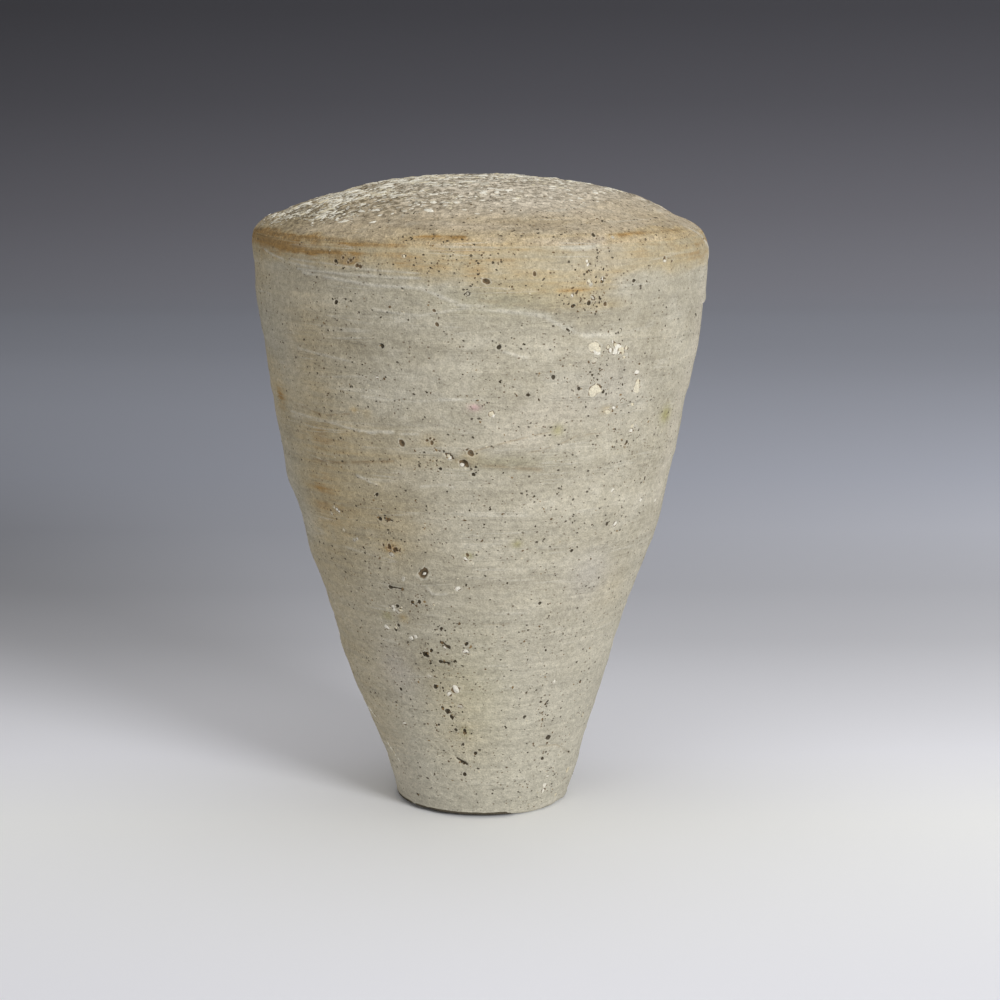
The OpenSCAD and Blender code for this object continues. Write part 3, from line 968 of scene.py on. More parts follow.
def closed_piece(name, low, high, rings, rows, strips, lift=no_lift, centre=None):
    """A closed piece: a worked skin between two lines round the vessel, then rings along its hidden side.

    low and high give a line's place at an angle. The skin has that many rows of cells, split next to marks,
    but for its first and last row, which other pieces meet. The map is cut into that many strips. A solid
    disc closes at centre, the number of the last ring of its floor.
    """
    total = rows + 1 + len(rings)
    row, column = np.mgrid[0:rows, 0:COLUMNS] + 0.5
    phi = column * 2 * math.pi / COLUMNS - math.pi
    s = low(phi) + (high(phi) - low(phi)) * row / rows
    fine = np.zeros((total, COLUMNS), bool)
    cell = 2 * math.pi * SHOULDER_R / COLUMNS
    fine[:rows] = near_marks(phi.ravel(), s.ravel(), cell).reshape(rows, COLUMNS)
    fine[[0, rows - 1]] = False

    faces = split_cells(fine)
    if centre is not None:
        faces = capped(faces, rows + 1 + centre)
    sizes = np.concatenate([np.full(len(u), u.shape[1]) for u, _ in faces])
    u = np.concatenate([face[0].ravel() for face in faces])
    v = np.concatenate([face[1].ravel() for face in faces])
    first = np.repeat(np.concatenate([face[1].min(1) for face in faces]), sizes)
    around_steps = COLUMNS * SPLIT
    keys, loops = np.unique(u % (total * SPLIT) * around_steps + v % around_steps, return_inverse=True)
    point_row, point_column = np.divmod(keys, around_steps)
    phi = point_column * 2 * math.pi / around_steps - math.pi

    outside = point_row <= rows * SPLIT
    points = np.zeros((len(keys), 3))
    share = point_row[outside] / (rows * SPLIT)
    bottom = low(phi[outside])
    points[outside], worked = skin(phi[outside], bottom + (high(phi[outside]) - bottom) * share, lift)
    values = {key: np.zeros(len(keys)) for key in worked}
    for key, value in worked.items():
        values[key][outside] = value
    for i, make_ring in enumerate(rings):
        here = point_row == (rows + 1 + i) * SPLIT
        points[here] = make_ring(phi[here])

    middle = points[(point_column == around_steps // 2) & (point_row % SPLIT == 0)]
    along = np.concatenate([[0], np.cumsum(np.linalg.norm(np.roll(middle, -1, 0) - middle, axis=1))])
    uv = strip_uv(u, v, first, along / along[-1], strips)
    return new_mesh(name, points, loops, sizes, values, uv)


def strip_uv(u, v, first, along, strips):
    """Texture map of a ring piece: its rows by length, cut round the vessel into strips that are stacked."""
    wide = COLUMNS * SPLIT // strips
    strip = first // wide
    inner = 1 - 2 * UV_MARGIN
    across = np.clip((v - strip * wide) / wide, 0, 1)
    up = np.interp(u / SPLIT, np.arange(len(along)), along)
    return np.stack([UV_MARGIN + inner * across, (strip + UV_MARGIN + inner * up) / strips], -1)


def at_place(value):
    """A level line round the vessel."""
    return lambda phi: np.full_like(phi, float(value))


def inner_wall(z):
    """Ring on the wall's inside at height z."""
    return ring(float(wall_radius(np.float64(z))) - WALL_T, z)


def face_point(r, lift):
    """Point of the dome's joint at radius r of the shoulder's rounding, lifted off the wall's face."""
    angle = DOME_JOINT + math.asin(lift / r)
    return ROUND_R + r * math.cos(angle), SHOULDER_Z + r * math.sin(angle)


def dome_joint_s(lift):
    """Place of the dome's joint on the outside, lifted off the wall's face."""
    return SHOULDER_Z + WALL_ROUND * (DOME_JOINT + math.asin(lift / WALL_ROUND))


def over_joint(phi):
    """Upper edge of the slip in the wall joint."""
    return joint_line(phi) + SLIP_T


def make_lower_wall():
    """Conical lower section of the wall."""
    rings = [inner_wall(z) for z in np.linspace(JOINT_Z + SCARF, BASE_H + SCARF + SLIP_T, 9)]
    low = at_place(BASE_H + SLIP_T)
    return closed_piece("lower_wall_clay", low, joint_line, rings, rows=118, strips=1)


def make_upper_wall():
    """Convex upper section of the wall, up to the dome's joint."""
    rings = []
    for turn in np.linspace(DOME_JOINT, 0, 4):
        rings.append(ring(ROUND_R + INNER_ROUND * math.cos(turn), SHOULDER_Z + INNER_ROUND * math.sin(turn)))
    rings += [inner_wall(z) for z in np.linspace(SHOULDER_Z, JOINT_Z + SCARF + SLIP_T, 8)[1:]]
    high = at_place(dome_joint_s(0))
    return closed_piece("upper_wall_clay", over_joint, high, rings, rows=92, strips=2)


def make_slip(name, low, height):
    """Slip in a wall joint, whose edge shows as a thin line."""
    rings = [inner_wall(height + SCARF + SLIP_T), inner_wall(height + SCARF)]
    return closed_piece(name, low, lambda phi: low(phi) + SLIP_T, rings, rows=3, strips=4)


def make_shoulder_slip():
    """Slip under the dome's rim, covered by the band."""
    rings = [ring(*face_point(INNER_ROUND, SLIP_T)), ring(*face_point(INNER_ROUND, 0))]
    low, high = at_place(dome_joint_s(0)), at_place(dome_joint_s(SLIP_T))
    return closed_piece("shoulder_slip_edge", low, high, rings, rows=3, strips=4)


# How far the band's inside lies under the wall's skin
BAND_UNDER = 0.05


def make_band():
    """Clay smeared over the dome's joint. Its inside lies just under the upper wall's skin."""
    top = dome_joint_s(SLIP_T)

    def back(share):
        def points(phi):
            s = band_edge(phi) + (top - band_edge(phi)) * share
            return placed(phi, s, relief(phi, s) + seams(phi, s) - BAND_UNDER)
        return points

    rings = [back(share) for share in np.linspace(1, 0, 8)]
    high = at_place(top)
    return closed_piece("shoulder_band_clay", band_edge, high, rings, rows=42, strips=4, lift=band_lift)


# The mouth's lip: its unevenness and reach, how far its edge sinks and over what width, and the slope inside
LIP_UNEVEN = 0.3
LIP_REACH = 1.4
LIP_SINK = 0.4
LIP_WIDTH = 3
LIP_SLOPE = [(0.45, 1.1), (0.0, 1.8)]
# Height of the crown's outside above its centre, where it is worn flat
FLAT_DROP = math.sqrt((CROWN_R + BAND_T) ** 2 - MOUTH_FLAT_R ** 2)


def dome_lift(phi, s):
    """Thickness of the dome over the curve, worn flat round the mouth, with an uneven lip."""
    r = core(s)[0]
    over = np.sqrt((CROWN_R + BAND_T) ** 2 - np.minimum(r, MOUTH_FLAT_R) ** 2) - FLAT_DROP
    lip = LIP_UNEVEN * bell(r - MOUTH_R - MOUTH_WEAR, LIP_REACH) * ring_noise(phi, 3, 16)
    return BAND_T - over + lip - LIP_SINK * smooth(r, MOUTH_R + LIP_WIDTH, MOUTH_R)


def make_dome():
    """Shallow dome with the mouth's bore in its crown."""
    top = CROWN_Z + FLAT_DROP
    bottom = CROWN_Z + math.sqrt(INNER_CROWN_R ** 2 - MOUTH_R ** 2)
    profile = [(MOUTH_R + out, top - down) for out, down in LIP_SLOPE]
    profile += [(MOUTH_R, bottom + 1), (MOUTH_R, bottom)]
    turns = np.linspace(math.acos(MOUTH_R / INNER_CROWN_R), CROWN_START, 8)[1:]
    profile += [(INNER_CROWN_R * math.cos(a), CROWN_Z + INNER_CROWN_R * math.sin(a)) for a in turns]
    profile.append(face_point(INNER_ROUND, SLIP_T))
    rings = [ring(r, z) for r, z in profile]
    low, high = at_place(dome_joint_s(SLIP_T)), at_place(crown_s(MOUTH_R + MOUTH_WEAR))
    return closed_piece("dome_clay", low, high, rings, rows=112, strips=2, lift=dome_lift)


# Gap under the foot's edge, in millimetres, and how open it is round the vessel
FOOT_GAP = 1.6
FOOT_OPEN = [(-180, 0.2), (-80, 0.9), (-60, 1.0), (0, 1.0), (14, 0.7), (32, 0.15), (90, 0.0), (140, 0.1)]
# Height up to which painted contact shadow darkens the lifted edge
FOOT_SHADE_HEIGHT = 1.95
# Chips along the foot's edge: their least and their span, how far they bite inwards and upwards
CHIP_LEAST = -0.35
CHIP_SPAN = 0.7
CHIP_INWARDS = 0.5
CHIP_UPWARDS = 0.35
# The underside's hollow: its depth, and its unevenness as depth, cells across and along, seed
HOLLOW = 0.35
HOLLOW_UNEVEN = [(0.25, 7, 5, 18), (0.12, 2, 2, 19)]
# Radius of the caps in the middle of the disc, and the dished floor as radii and rises over its lowest point
CENTRE_R = 0.5
FLOOR_DISH = [(12, 3.3), (3, 0.8), (CENTRE_R, 0.0)]


def shaded_rim(disc):
    """Painted contact shadow: dark along the foot's edge, where it is lifted off the floor."""
    mesh = disc.data
    points = np.zeros(3 * len(mesh.vertices), np.float32)
    mesh.vertices.foreach_get("co", points)
    x, y, z = points.reshape(-1, 3).T / MM
    phi = np.arctan2(x, -y)
    reach = FOOT_SHADE_HEIGHT * smooth(around(phi, FOOT_OPEN), 0.15, 0.75) * (1 + 0.2 * ring_noise(phi, 5, 34))
    # Painted shadow under the lifted edge, kept with the pits' values so that the clay paints it dark
    rim_shade = smooth((z - reach) / FOOT_SHADE_HEIGHT, 0.0, -0.25)
    held = np.zeros(len(x), np.float32)
    layer = mesh.attributes["pit"].data
    layer.foreach_get("value", held)
    layer.foreach_set("value", np.maximum(held, rim_shade).astype(np.float32))
    return disc


def make_base():
    """Solid disc: a side like the other skins, closed by the dished floor and the uneven underside."""
    start = np.full(COLUMNS, BASE_ROUND)
    side_edge = placed(PHI, start, relief(PHI, start))
    edge_r = np.hypot(side_edge[:, 0], side_edge[:, 1])
    chip = CHIP_LEAST + CHIP_SPAN * smooth(ring_noise(PHI, 6, 17), 0.1, 0.9)
    gap = FOOT_GAP * around(PHI, FOOT_OPEN)

    def edge_at(phi, values):
        return np.interp(phi, PHI, values, period=2 * math.pi)

    def underside(share):
        def points(phi):
            rim = edge_at(phi, edge_r) - BASE_ROUND
            reach = np.maximum(share * rim, CENTRE_R)
            place = np.full_like(phi, share * BASE_R)
            hollow = np.full_like(phi, HOLLOW)
            for depth, *cells in HOLLOW_UNEVEN:
                hollow += depth * noise(phi, place, *cells)
            lift = np.clip(hollow, 0, 1) * smooth(share, 1.0, 0.82)
            lift = lift + edge_at(phi, gap) * smooth(share, 0.55, 1.0)
            return polar(phi, reach, lift)
        return points

    def rounding(angle):
        def points(phi):
            bite = edge_at(phi, chip) * math.sin(2 * angle)
            reach = edge_at(phi, edge_r) - BASE_ROUND * (1 - math.sin(angle)) - CHIP_INWARDS * bite
            lift = BASE_ROUND * (1 - math.cos(angle)) + CHIP_UPWARDS * bite
            lift = lift + edge_at(phi, gap) * (1 - math.sin(angle))
            return polar(phi, reach, lift)
        return points

    floor = [inner_wall(BASE_H + SCARF)] + [ring(r, FLOOR_T + rise) for r, rise in FLOOR_DISH]
    under = [underside(share) for share in np.linspace(0, 1, 20)]
    edge = [rounding(angle) for angle in np.linspace(0, math.pi / 2, 7)[1:-1]]
    rings = floor + under + edge
    low, high = at_place(BASE_ROUND), at_place(BASE_H)
    last = len(floor) - 1
    return shaded_rim(closed_piece("base_disc_clay", low, high, rings, rows=22, strips=2, centre=last))


# Grains and flakes that sit in the skin

def ball(subdivisions):
    """Points and faces of a unit ball."""
    shape = bmesh.new()
    bmesh.ops.create_icosphere(shape, subdivisions=subdivisions, radius=1)
    points = np.array([v.co[:] for v in shape.verts])
    faces = np.array([[v.index for v in f.verts] for f in shape.faces])
    shape.free()
    return points, faces


# A unit flake: its sides, the radius and height of its top's edge, and its lowest and highest point
FLAKE_SIDES = 9
FLAKE_TOP_R = 0.72
FLAKE_TOP = 0.8
FLAKE_LOWEST = -0.6
FLAKE_PEAK = 1


def flake():
    """Points and faces of a unit flake: a low plate with sloping sides."""
    sides = FLAKE_SIDES
    turns = np.arange(sides) * 2 * math.pi / sides
    rim = np.stack([np.cos(turns), np.sin(turns), np.zeros(sides)], -1)
    top = rim * [FLAKE_TOP_R, FLAKE_TOP_R, 0] + [0, 0, FLAKE_TOP]
    points = np.concatenate([rim, top, [[0, 0, FLAKE_LOWEST], [0, 0, FLAKE_PEAK]]])
    here = np.arange(sides)
    after = (here + 1) % sides
    bottom, peak = np.full(sides, 2 * sides), np.full(sides, 2 * sides + 1)
    triangles = [(after, here, bottom), (here, after, here + sides), (after, after + sides, here + sides),
                 (here + sides, after + sides, peak)]
    return points, np.concatenate([np.stack(corners, -1) for corners in triangles])


def skin_lift(phi, s):
    """Lift of the visible outside at these places, pits left out."""
    on_band = np.where(s > band_edge(phi), band_lift(phi, s), 0)
    return np.where(s > dome_joint_s(SLIP_T), dome_lift(phi, s), on_band) + relief(phi, s) + seams(phi, s)


# Radius from which a lump has the second tint of its paint, and that tint
LARGE_LUMP = 1.2
LARGE_TINT = 0.57
# A lump's unevenness: amount, cells over it, shift from one lump to the next, seed
LUMP_UNEVEN = [(0.4, 1.4, 7.3, 21), (0.16, 3.1, 3.7, 22)]
# Least and most of a lump's width and height, as shares of its own
LUMP_WIDTH = (0.7, 1.05)
LUMP_HEIGHT = (0.8, 1.2)


def make_lumps(name, spots, shape, flatness, stretch, sink, swing=math.pi):
    """Lumps at (angle, place, radius): uneven, flattened and sunk, each in its own cell of the map.

    They lie from left to right, turned by up to swing either way.
    """
    unit, triangles = shape
    phi, s, radius = (np.array(v) for v in zip(*spots))
    centre = placed(phi, s, skin_lift(phi, s))
    _, _, nr, nz = core(s)
    out = polar(phi, nr, nz)
    side = np.stack([np.cos(phi), np.sin(phi), np.zeros_like(phi)], -1)
    up = np.cross(out, side)
    across = math.ceil(math.sqrt(len(spots)))
    behind = (unit[triangles].mean(1)[:, 2] < 0).astype(float)[:, None]
    flat_map = unit[triangles][..., :2] * 0.45 + 0.5
    points, faces, tint, uv = [], [], [], []
    for i, size in enumerate(radius):
        uneven = np.ones(len(unit))
        for amount, cells, shift, seed in LUMP_UNEVEN:
            uneven += amount * lattice(unit * cells + shift * i, seed)
        angle = math.atan2(up[i][0], side[i][0]) + RNG.uniform(-swing, swing)
        along = side[i] * math.cos(angle) + up[i] * math.sin(angle)
        cross = np.cross(out[i], along)
        long = size * RNG.uniform(1.0, stretch)
        wide = size * RNG.uniform(*LUMP_WIDTH)
        high = size * flatness * RNG.uniform(*LUMP_HEIGHT)
        body = unit * uneven[:, None]
        lump = body[:, :1] * long * along + body[:, 1:2] * wide * cross + body[:, 2:] * high * out[i]
        points.append(centre[i] + lump - out[i] * sink * high)
        faces.append(triangles + i * len(unit))
        shade = RNG.random()
        tint.append(np.full(len(unit), LARGE_TINT if size > LARGE_LUMP else shade))
        row, column = divmod(i, across)
        uv.append(np.stack([column + (behind + flat_map[..., 0]) / 2, row + flat_map[..., 1]], -1) / across)
    loops = np.concatenate(faces)
    sizes = np.full(len(loops), 3)
    values = {"tint": np.concatenate(tint)}
    return new_mesh(name, np.concatenate(points), loops.ravel(), sizes, values, np.concatenate(uv))


# Lime flakes: how many, their usual radius, its spread and its most, how far above the shoulder and off the
# mouth they lie, and how many places are tried at a time
FLAKES = 3100
FLAKE_R = 0.3
FLAKE_SPREAD = 0.5
FLAKE_MOST = 0.95
FLAKE_ABOVE = 9
FLAKE_OFF_MOUTH = 3.5
FLAKE_TRIES = 500
# Beads of lime along a scratch, and their radius
BEADS = 11
BEAD_R = 0.45


def crust_spots(count):
    """Places of lime flakes: on the crown where crust() is thick, in loose drifts."""
    found = []
    top = crown_s(MOUTH_R + FLAKE_OFF_MOUTH)
    while len(found) < count:
        phi = RNG.uniform(*ALL_ROUND, FLAKE_TRIES)
        s = RNG.uniform(SHOULDER_Z + FLAKE_ABOVE, top, FLAKE_TRIES)
        room = RNG.random(FLAKE_TRIES) < core(s)[0] / SHOULDER_R
        drift = smooth(noise(phi, s, 7, 5, 23), -0.45, 0.5)
        keep = room & (RNG.random(FLAKE_TRIES) < crust(phi, s) ** 1.3 * drift)
        size = FLAKE_R * np.exp(RNG.normal(0, FLAKE_SPREAD, FLAKE_TRIES)) * (0.75 + 0.4 * crust(phi, s))
        found += [(phi[i], s[i], min(size[i], FLAKE_MOST)) for i in np.flatnonzero(keep)]
    return found[:count]


def scratch_spots():
    """Beads of lime along the white scratches."""
    beads = []
    for start, end in WHITE_SCRATCHES:
        for share in np.linspace(0, 1, BEADS):
            x = start[0] + (end[0] - start[0]) * share
            y = start[1] + (end[1] - start[1]) * share
            beads.append((*spot(x, y), BEAD_R))
    return beads


# Materials

class Paint:
    """A node material, built from short calls. Vectors are object coordinates in metres."""

    def __init__(self, name):
        self.material = bpy.data.materials.new(name)
        self.material.use_nodes = True
        self.tree = self.material.node_tree
        self.shader = self.tree.nodes["Principled BSDF"]
        self.place = self.tree.nodes.new("ShaderNodeTexCoord").outputs["Object"]

    def node(self, kind, sockets=(), **settings):
        """A new node with its settings, and its inputs set or linked."""
        made = self.tree.nodes.new(kind)
        for key, value in settings.items():
            setattr(made, key, value)
        for key, value in dict(sockets).items():
            self.put(made.inputs[key], value)
        return made

    def put(self, socket, value):
        """Links a socket to another one, or sets its value."""
        if isinstance(value, bpy.types.NodeSocket):
            self.tree.links.new(value, socket)
        else:
            socket.default_value = value

    def scaled(self, x, y, z):
        """Coordinates in cells of that many millimetres."""
        size = (1 / (x * MM), 1 / (y * MM), 1 / (z * MM))
        return self.node("ShaderNodeVectorMath", {0: self.place, 1: size}, operation="MULTIPLY").outputs[0]

    def noise(self, cells, detail=2.0, roughness=0.5, distortion=0.0):
        """Noise with cells of that many millimetres."""
        sockets = {"Vector": self.scaled(*cells), "Scale": 1.0, "Detail": detail, "Roughness": roughness,
                   "Distortion": distortion}
        return self.node("ShaderNodeTexNoise", sockets).outputs["Fac"]

    def value(self, name):
        """A value that the mesh carries on its points."""
        return self.node("ShaderNodeAttribute", attribute_name=name).outputs["Fac"]

    def math(self, operation, a, b=0.0, clamp=False):
        """Result of an operation on two values."""
        return self.node("ShaderNodeMath", {0: a, 1: b}, operation=operation, use_clamp=clamp).outputs[0]

    def span(self, value, low, high, out_low=0.0, out_high=1.0):
        """Soft step of a value: out_low up to low, out_high from high."""
        sockets = {"Value": value, "From Min": low, "From Max": high, "To Min": out_low, "To Max": out_high}
        return self.node("ShaderNodeMapRange", sockets, interpolation_type="SMOOTHSTEP").outputs["Result"]

    def mix(self, share, a, b, blend="MIX"):
        """Colour a, mixed towards b by a share."""
        made = self.node("ShaderNodeMix", data_type="RGBA", blend_type=blend)
        self.put(made.inputs["Factor"], share)
        for socket, value in ((made.inputs[6], a), (made.inputs[7], b)):
            self.put(socket, value if isinstance(value, bpy.types.NodeSocket) else (*value, 1.0))
        return made.outputs[2]

    def stain(self, colour, share, strength, other):
        """Colour mixed towards another one by a share times a strength."""
        return self.mix(self.math("MULTIPLY", share, strength, True), colour, other)

    def shade(self, colour, factor):
        """Colour times a grey factor."""
        grey = self.node("ShaderNodeCombineColor", {0: factor, 1: factor, 2: factor}).outputs[0]
        return self.mix(1.0, colour, grey, "MULTIPLY")

    def total(self, *terms):
        """Sum of values times their weights."""
        value, weight = terms[0]
        result = self.math("MULTIPLY", value, weight)
        for value, weight in terms[1:]:
            result = self.math("ADD", result, self.math("MULTIPLY", value, weight))
        return result

    def line(self, value, level, half_width):
        """Thin line where a value passes a level."""
        away = self.math("ABSOLUTE", self.math("SUBTRACT", value, level))
        return self.span(away, half_width, 0.0)

    def ramp(self, value, stops):
        """Colour by value, from (value, colour) stops."""
        low, high = stops[0][0], stops[-1][0]
        share = self.math("DIVIDE", self.math("SUBTRACT", value, low), high - low)
        made = self.node("ShaderNodeValToRGB", {0: share})
        elements = made.color_ramp.elements
        for i, (at, colour) in enumerate(stops):
            position = (at - low) / (high - low)
            stop = elements[i] if i < 2 else elements.new(position)
            stop.position = position
            stop.color = (*colour, 1)
        return made.outputs[0]

    def specks(self, cell, radius, share):
        """Uneven specks up to that radius in millimetres, in a share of the cells of that size."""
        fine = {"Vector": self.scaled(0.6, 0.6, 0.6), "Scale": 1.0, "Detail": 2.0}
        wander = self.node("ShaderNodeTexNoise", fine)
        shift = self.node("ShaderNodeVectorMath", {0: wander.outputs["Color"], 1: (0.3, 0.3, 0.3)},
                          operation="MULTIPLY").outputs[0]
        where = self.node("ShaderNodeVectorMath", {0: self.scaled(cell, cell, cell * 0.8), 1: shift},
                          operation="ADD").outputs[0]
        cells = self.node("ShaderNodeTexVoronoi", {"Vector": where, "Scale": 1.0})
        chance = self.node("ShaderNodeSeparateColor", {0: cells.outputs["Color"]})
        reach = self.math("MULTIPLY", self.math("ADD", chance.outputs[0], 0.5), radius / cell / 1.5)
        away = self.math("DIVIDE", cells.outputs["Distance"], reach)
        present = self.math("LESS_THAN", chance.outputs[1], share)
        return self.math("MULTIPLY", self.span(away, 1.0, 0.6), present)

    def finish(self, colour, roughness, height, depth):
        """Joins colour, roughness and bump, with the bump's depth in millimetres."""
        bump = self.node("ShaderNodeBump", {"Strength": 1.0, "Distance": depth * MM, "Height": height})
        self.put(self.shader.inputs["Base Color"], colour)
        self.put(self.shader.inputs["Roughness"], roughness)
        self.put(self.shader.inputs["Normal"], bump.outputs[0])
        self.shader.inputs["Specular IOR Level"].default_value = CLAY_GLOSS
        return self.material


# Colours of clay, stains, specks and lime, and the gloss of them all
CLAY_GLOSS = 0.25
GREY_CLAY = (0.490, 0.455, 0.360)
DULL_CLAY = (0.415, 0.380, 0.290)
DOME_CLAY = (0.512, 0.434, 0.318)
DOME_DULL = (0.415, 0.342, 0.234)
PALE_AND_HIGHLIGHT_TONE = (0.630, 0.572, 0.472)
TAN_STAIN = (0.466, 0.356, 0.174)
RUST_STAIN = (0.318, 0.188, 0.060)
SOIL_AND_SHADE_TONE = (0.270, 0.235, 0.160)
FOOT_TONE_AND_BOUNCE = (0.502, 0.476, 0.394)
COOL_STAIN = (0.420, 0.395, 0.375)
OLIVE_STAIN = (0.340, 0.315, 0.130)
PINK_STAIN = (0.640, 0.370, 0.400)
CRUST_GAP = (0.190, 0.150, 0.085)
SPECK_DARK = (0.058, 0.045, 0.027)
SPECK_BROWN = (0.140, 0.092, 0.047)
BROWN_LINE = (0.260, 0.175, 0.080)
CRUST_WHITE = (0.850, 0.820, 0.715)
LIME_WHITE = (0.790, 0.755, 0.655)
LIME_CREAM = (0.700, 0.635, 0.470)
LIME_GREY = (0.540, 0.505, 0.415)
PALE_DUST = (0.590, 0.560, 0.470)
# Height in millimetres below which the wall turns paler and greyer towards the foot: partly its own tone,
# partly painted light from the floor's bounce
FOOT_TONE_TO = 105.0
# Patterns in the clay: cell in millimetres, detail, roughness, distortion
PATTERNS = {
    "cloud": ((26, 26, 14), 3.0),
    "mottle": ((6, 6, 3.6), 3.0, 0.5),
    "blotch": ((3.0, 3.0, 2.0), 3.0, 0.6, 0.4),
    "streak": ((34, 34, 1.3), 3.0, 0.6, 0.6),
    "belt": ((80, 80, 6), 2.0, 0.5, 0.3),
    "wiping": ((70, 70, 3.2), 2.0, 0.45, 0.5),
    "patchy": ((16, 16, 7), 2.0),
    "coarse": ((1.7, 1.7, 1.3), 2.0, 0.6),
    "grain": ((0.5, 0.5, 0.42), 2.0, 0.7),
    "gaps": ((1.7, 1.7, 1.3), 3.0, 0.6, 0.3),
    "flecks": ((1.9, 1.9, 1.0), 3.0, 0.62, 0.4),
    "crowd": ((20, 20, 15), 2.0),
}
# Depth of the fine relief of clay and of grains, in millimetres
CLAY_DEPTH = 0.3
GRAIN_DEPTH = 0.15


def stained(paint, look, colour):
    """Clay with the stains that the skin's values give, and the painted shade and light among them."""
    height = paint.node("ShaderNodeSeparateXYZ", {0: paint.place}).outputs["Z"]
    # Paler towards the foot: partly the clay's tone, partly painted bounce light from the floor
    colour = paint.stain(colour, paint.span(height, FOOT_TONE_TO * MM, 0.0), 0.85, FOOT_TONE_AND_BOUNCE)
    # Paler clay, with a painted highlight on the right edge and painted light low on the foot
    colour = paint.stain(colour, paint.value("pale"), 0.8, PALE_AND_HIGHLIGHT_TONE)
    colour = paint.stain(colour, paint.value("cool"), 0.7, COOL_STAIN)
    # Soiling, and painted shade on the left side
    soil_and_shade_share = paint.math("MULTIPLY", paint.value("soil_and_shade"), paint.span(look.mottle, 0.3, 0.65, 1.15, 0.75))
    colour = paint.stain(colour, soil_and_shade_share, 0.9, SOIL_AND_SHADE_TONE)
    colour = paint.stain(colour, paint.value("olive"), 0.8, OLIVE_STAIN)
    ragged = paint.math("MULTIPLY", paint.value("warm"), paint.span(look.mottle, 0.25, 0.6, 0.7, 1.05), True)
    ragged = paint.math("MULTIPLY", ragged, paint.span(look.streak, 0.3, 0.7, 0.76, 1.12), True)
    tone = paint.mix(paint.span(ragged, 0.4, 1.1), TAN_STAIN, RUST_STAIN)
    colour = paint.stain(colour, ragged, 0.95, tone)
    colour = paint.stain(colour, paint.value("pink"), 0.6, PINK_STAIN)
    colour = paint.stain(colour, paint.value("brown"), 0.75, BROWN_LINE)
    return paint.stain(colour, paint.value("bare"), 0.8, PALE_DUST)


def crusted_over(paint, look, colour, crusted):
    """Lime flecks with darker gaps between them. Also gives their relief."""
    share = paint.math("MULTIPLY", paint.value("crust"), crusted)
    gap = paint.math("MULTIPLY", paint.span(look.gaps, 0.575, 0.4), share)
    colour = paint.stain(colour, gap, 0.88, CRUST_GAP)
    edge = paint.math("SUBTRACT", 0.72, paint.math("MULTIPLY", share, 0.16))
    fleck = paint.math("MULTIPLY", paint.span(paint.math("SUBTRACT", look.flecks, edge), 0.0, 0.05), share)
    return paint.mix(fleck, colour, LIME_WHITE), [(fleck, 0.7), (gap, -0.7)]


def wiped_over(paint, look, colour, gritty):
    """Wiping streaks and lines, blotches and grain. Also gives their relief."""
    patchy = paint.span(look.patchy, 0.46, 0.66)
    pale_line = paint.math("MULTIPLY", paint.line(look.wiping, 0.56, 0.035), patchy)
    dark_line = paint.math("MULTIPLY", paint.line(look.wiping, 0.44, 0.03), patchy)
    colour = paint.shade(colour, paint.span(look.streak, 0.3, 0.7, 0.94, 1.05))
    colour = paint.shade(colour, paint.span(look.belt, 0.3, 0.7, 0.95, 1.045))
    colour = paint.stain(colour, pale_line, 0.42, PALE_DUST)
    colour = paint.shade(colour, paint.span(dark_line, 0.0, 1.0, 1.0, 0.89))
    for pattern, low, high, dark, more_dark, light, more_light in (
            (look.blotch, 0.3, 0.62, 0.955, 0.08, 1.02, 0.05),
            (look.coarse, 0.25, 0.75, 0.89, 0.1, 1.095, 0.1),
            (look.grain, 0.25, 0.75, 0.84, 0.14, 1.15, 0.14)):
        factor = paint.span(pattern, low, high, dark - more_dark * gritty, light + more_light * gritty)
        colour = paint.shade(colour, factor)
    relief_of = [(look.grain, 0.5 + 0.4 * gritty), (look.coarse, 1.15 + 0.4 * gritty), (look.blotch, 0.95),
                 (look.streak, 0.4), (pale_line, 0.25), (dark_line, -0.3)]
    return colour, relief_of


def specked(paint, look, colour):
    """Fine dark and pale specks, in loose crowds. Also gives their relief."""
    tiny = paint.specks(1.4, 0.4, paint.span(look.crowd, 0.35, 0.7, 0.25, 0.8))
    small = paint.specks(2.1, 0.52, paint.span(look.crowd, 0.35, 0.7, 0.15, 0.6))
    white = paint.specks(2.6, 0.46, 0.25)
    colour = paint.stain(colour, tiny, 0.7, SPECK_BROWN)
    colour = paint.stain(colour, small, 0.85, SPECK_DARK)
    colour = paint.stain(colour, white, 0.75, LIME_CREAM)
    return colour, [(tiny, -0.5), (small, -0.9), (white, 0.3)]


def pitted(paint, colour):
    """Holes with painted shade, dark or brown, and a pale lip."""
    near_hole = paint.value("pit")
    lip = paint.math("MULTIPLY", paint.span(near_hole, 0.12, 0.34), paint.span(near_hole, 0.5, 0.36))
    colour = paint.stain(colour, lip, 0.45, PALE_DUST)
    # Painted shade: dark in holes, in deep cracks and under the foot's lifted edge. Brown in rusty marks is
    # stain; brown in lime beds is painted shade
    wall = paint.mix(paint.value("rust"), SPECK_DARK, SPECK_BROWN)
    wall = paint.mix(paint.span(near_hole, 0.9, 1.4), wall, SPECK_DARK)
    return paint.stain(colour, paint.span(near_hole, 0.46, 0.66), 0.92, wall)


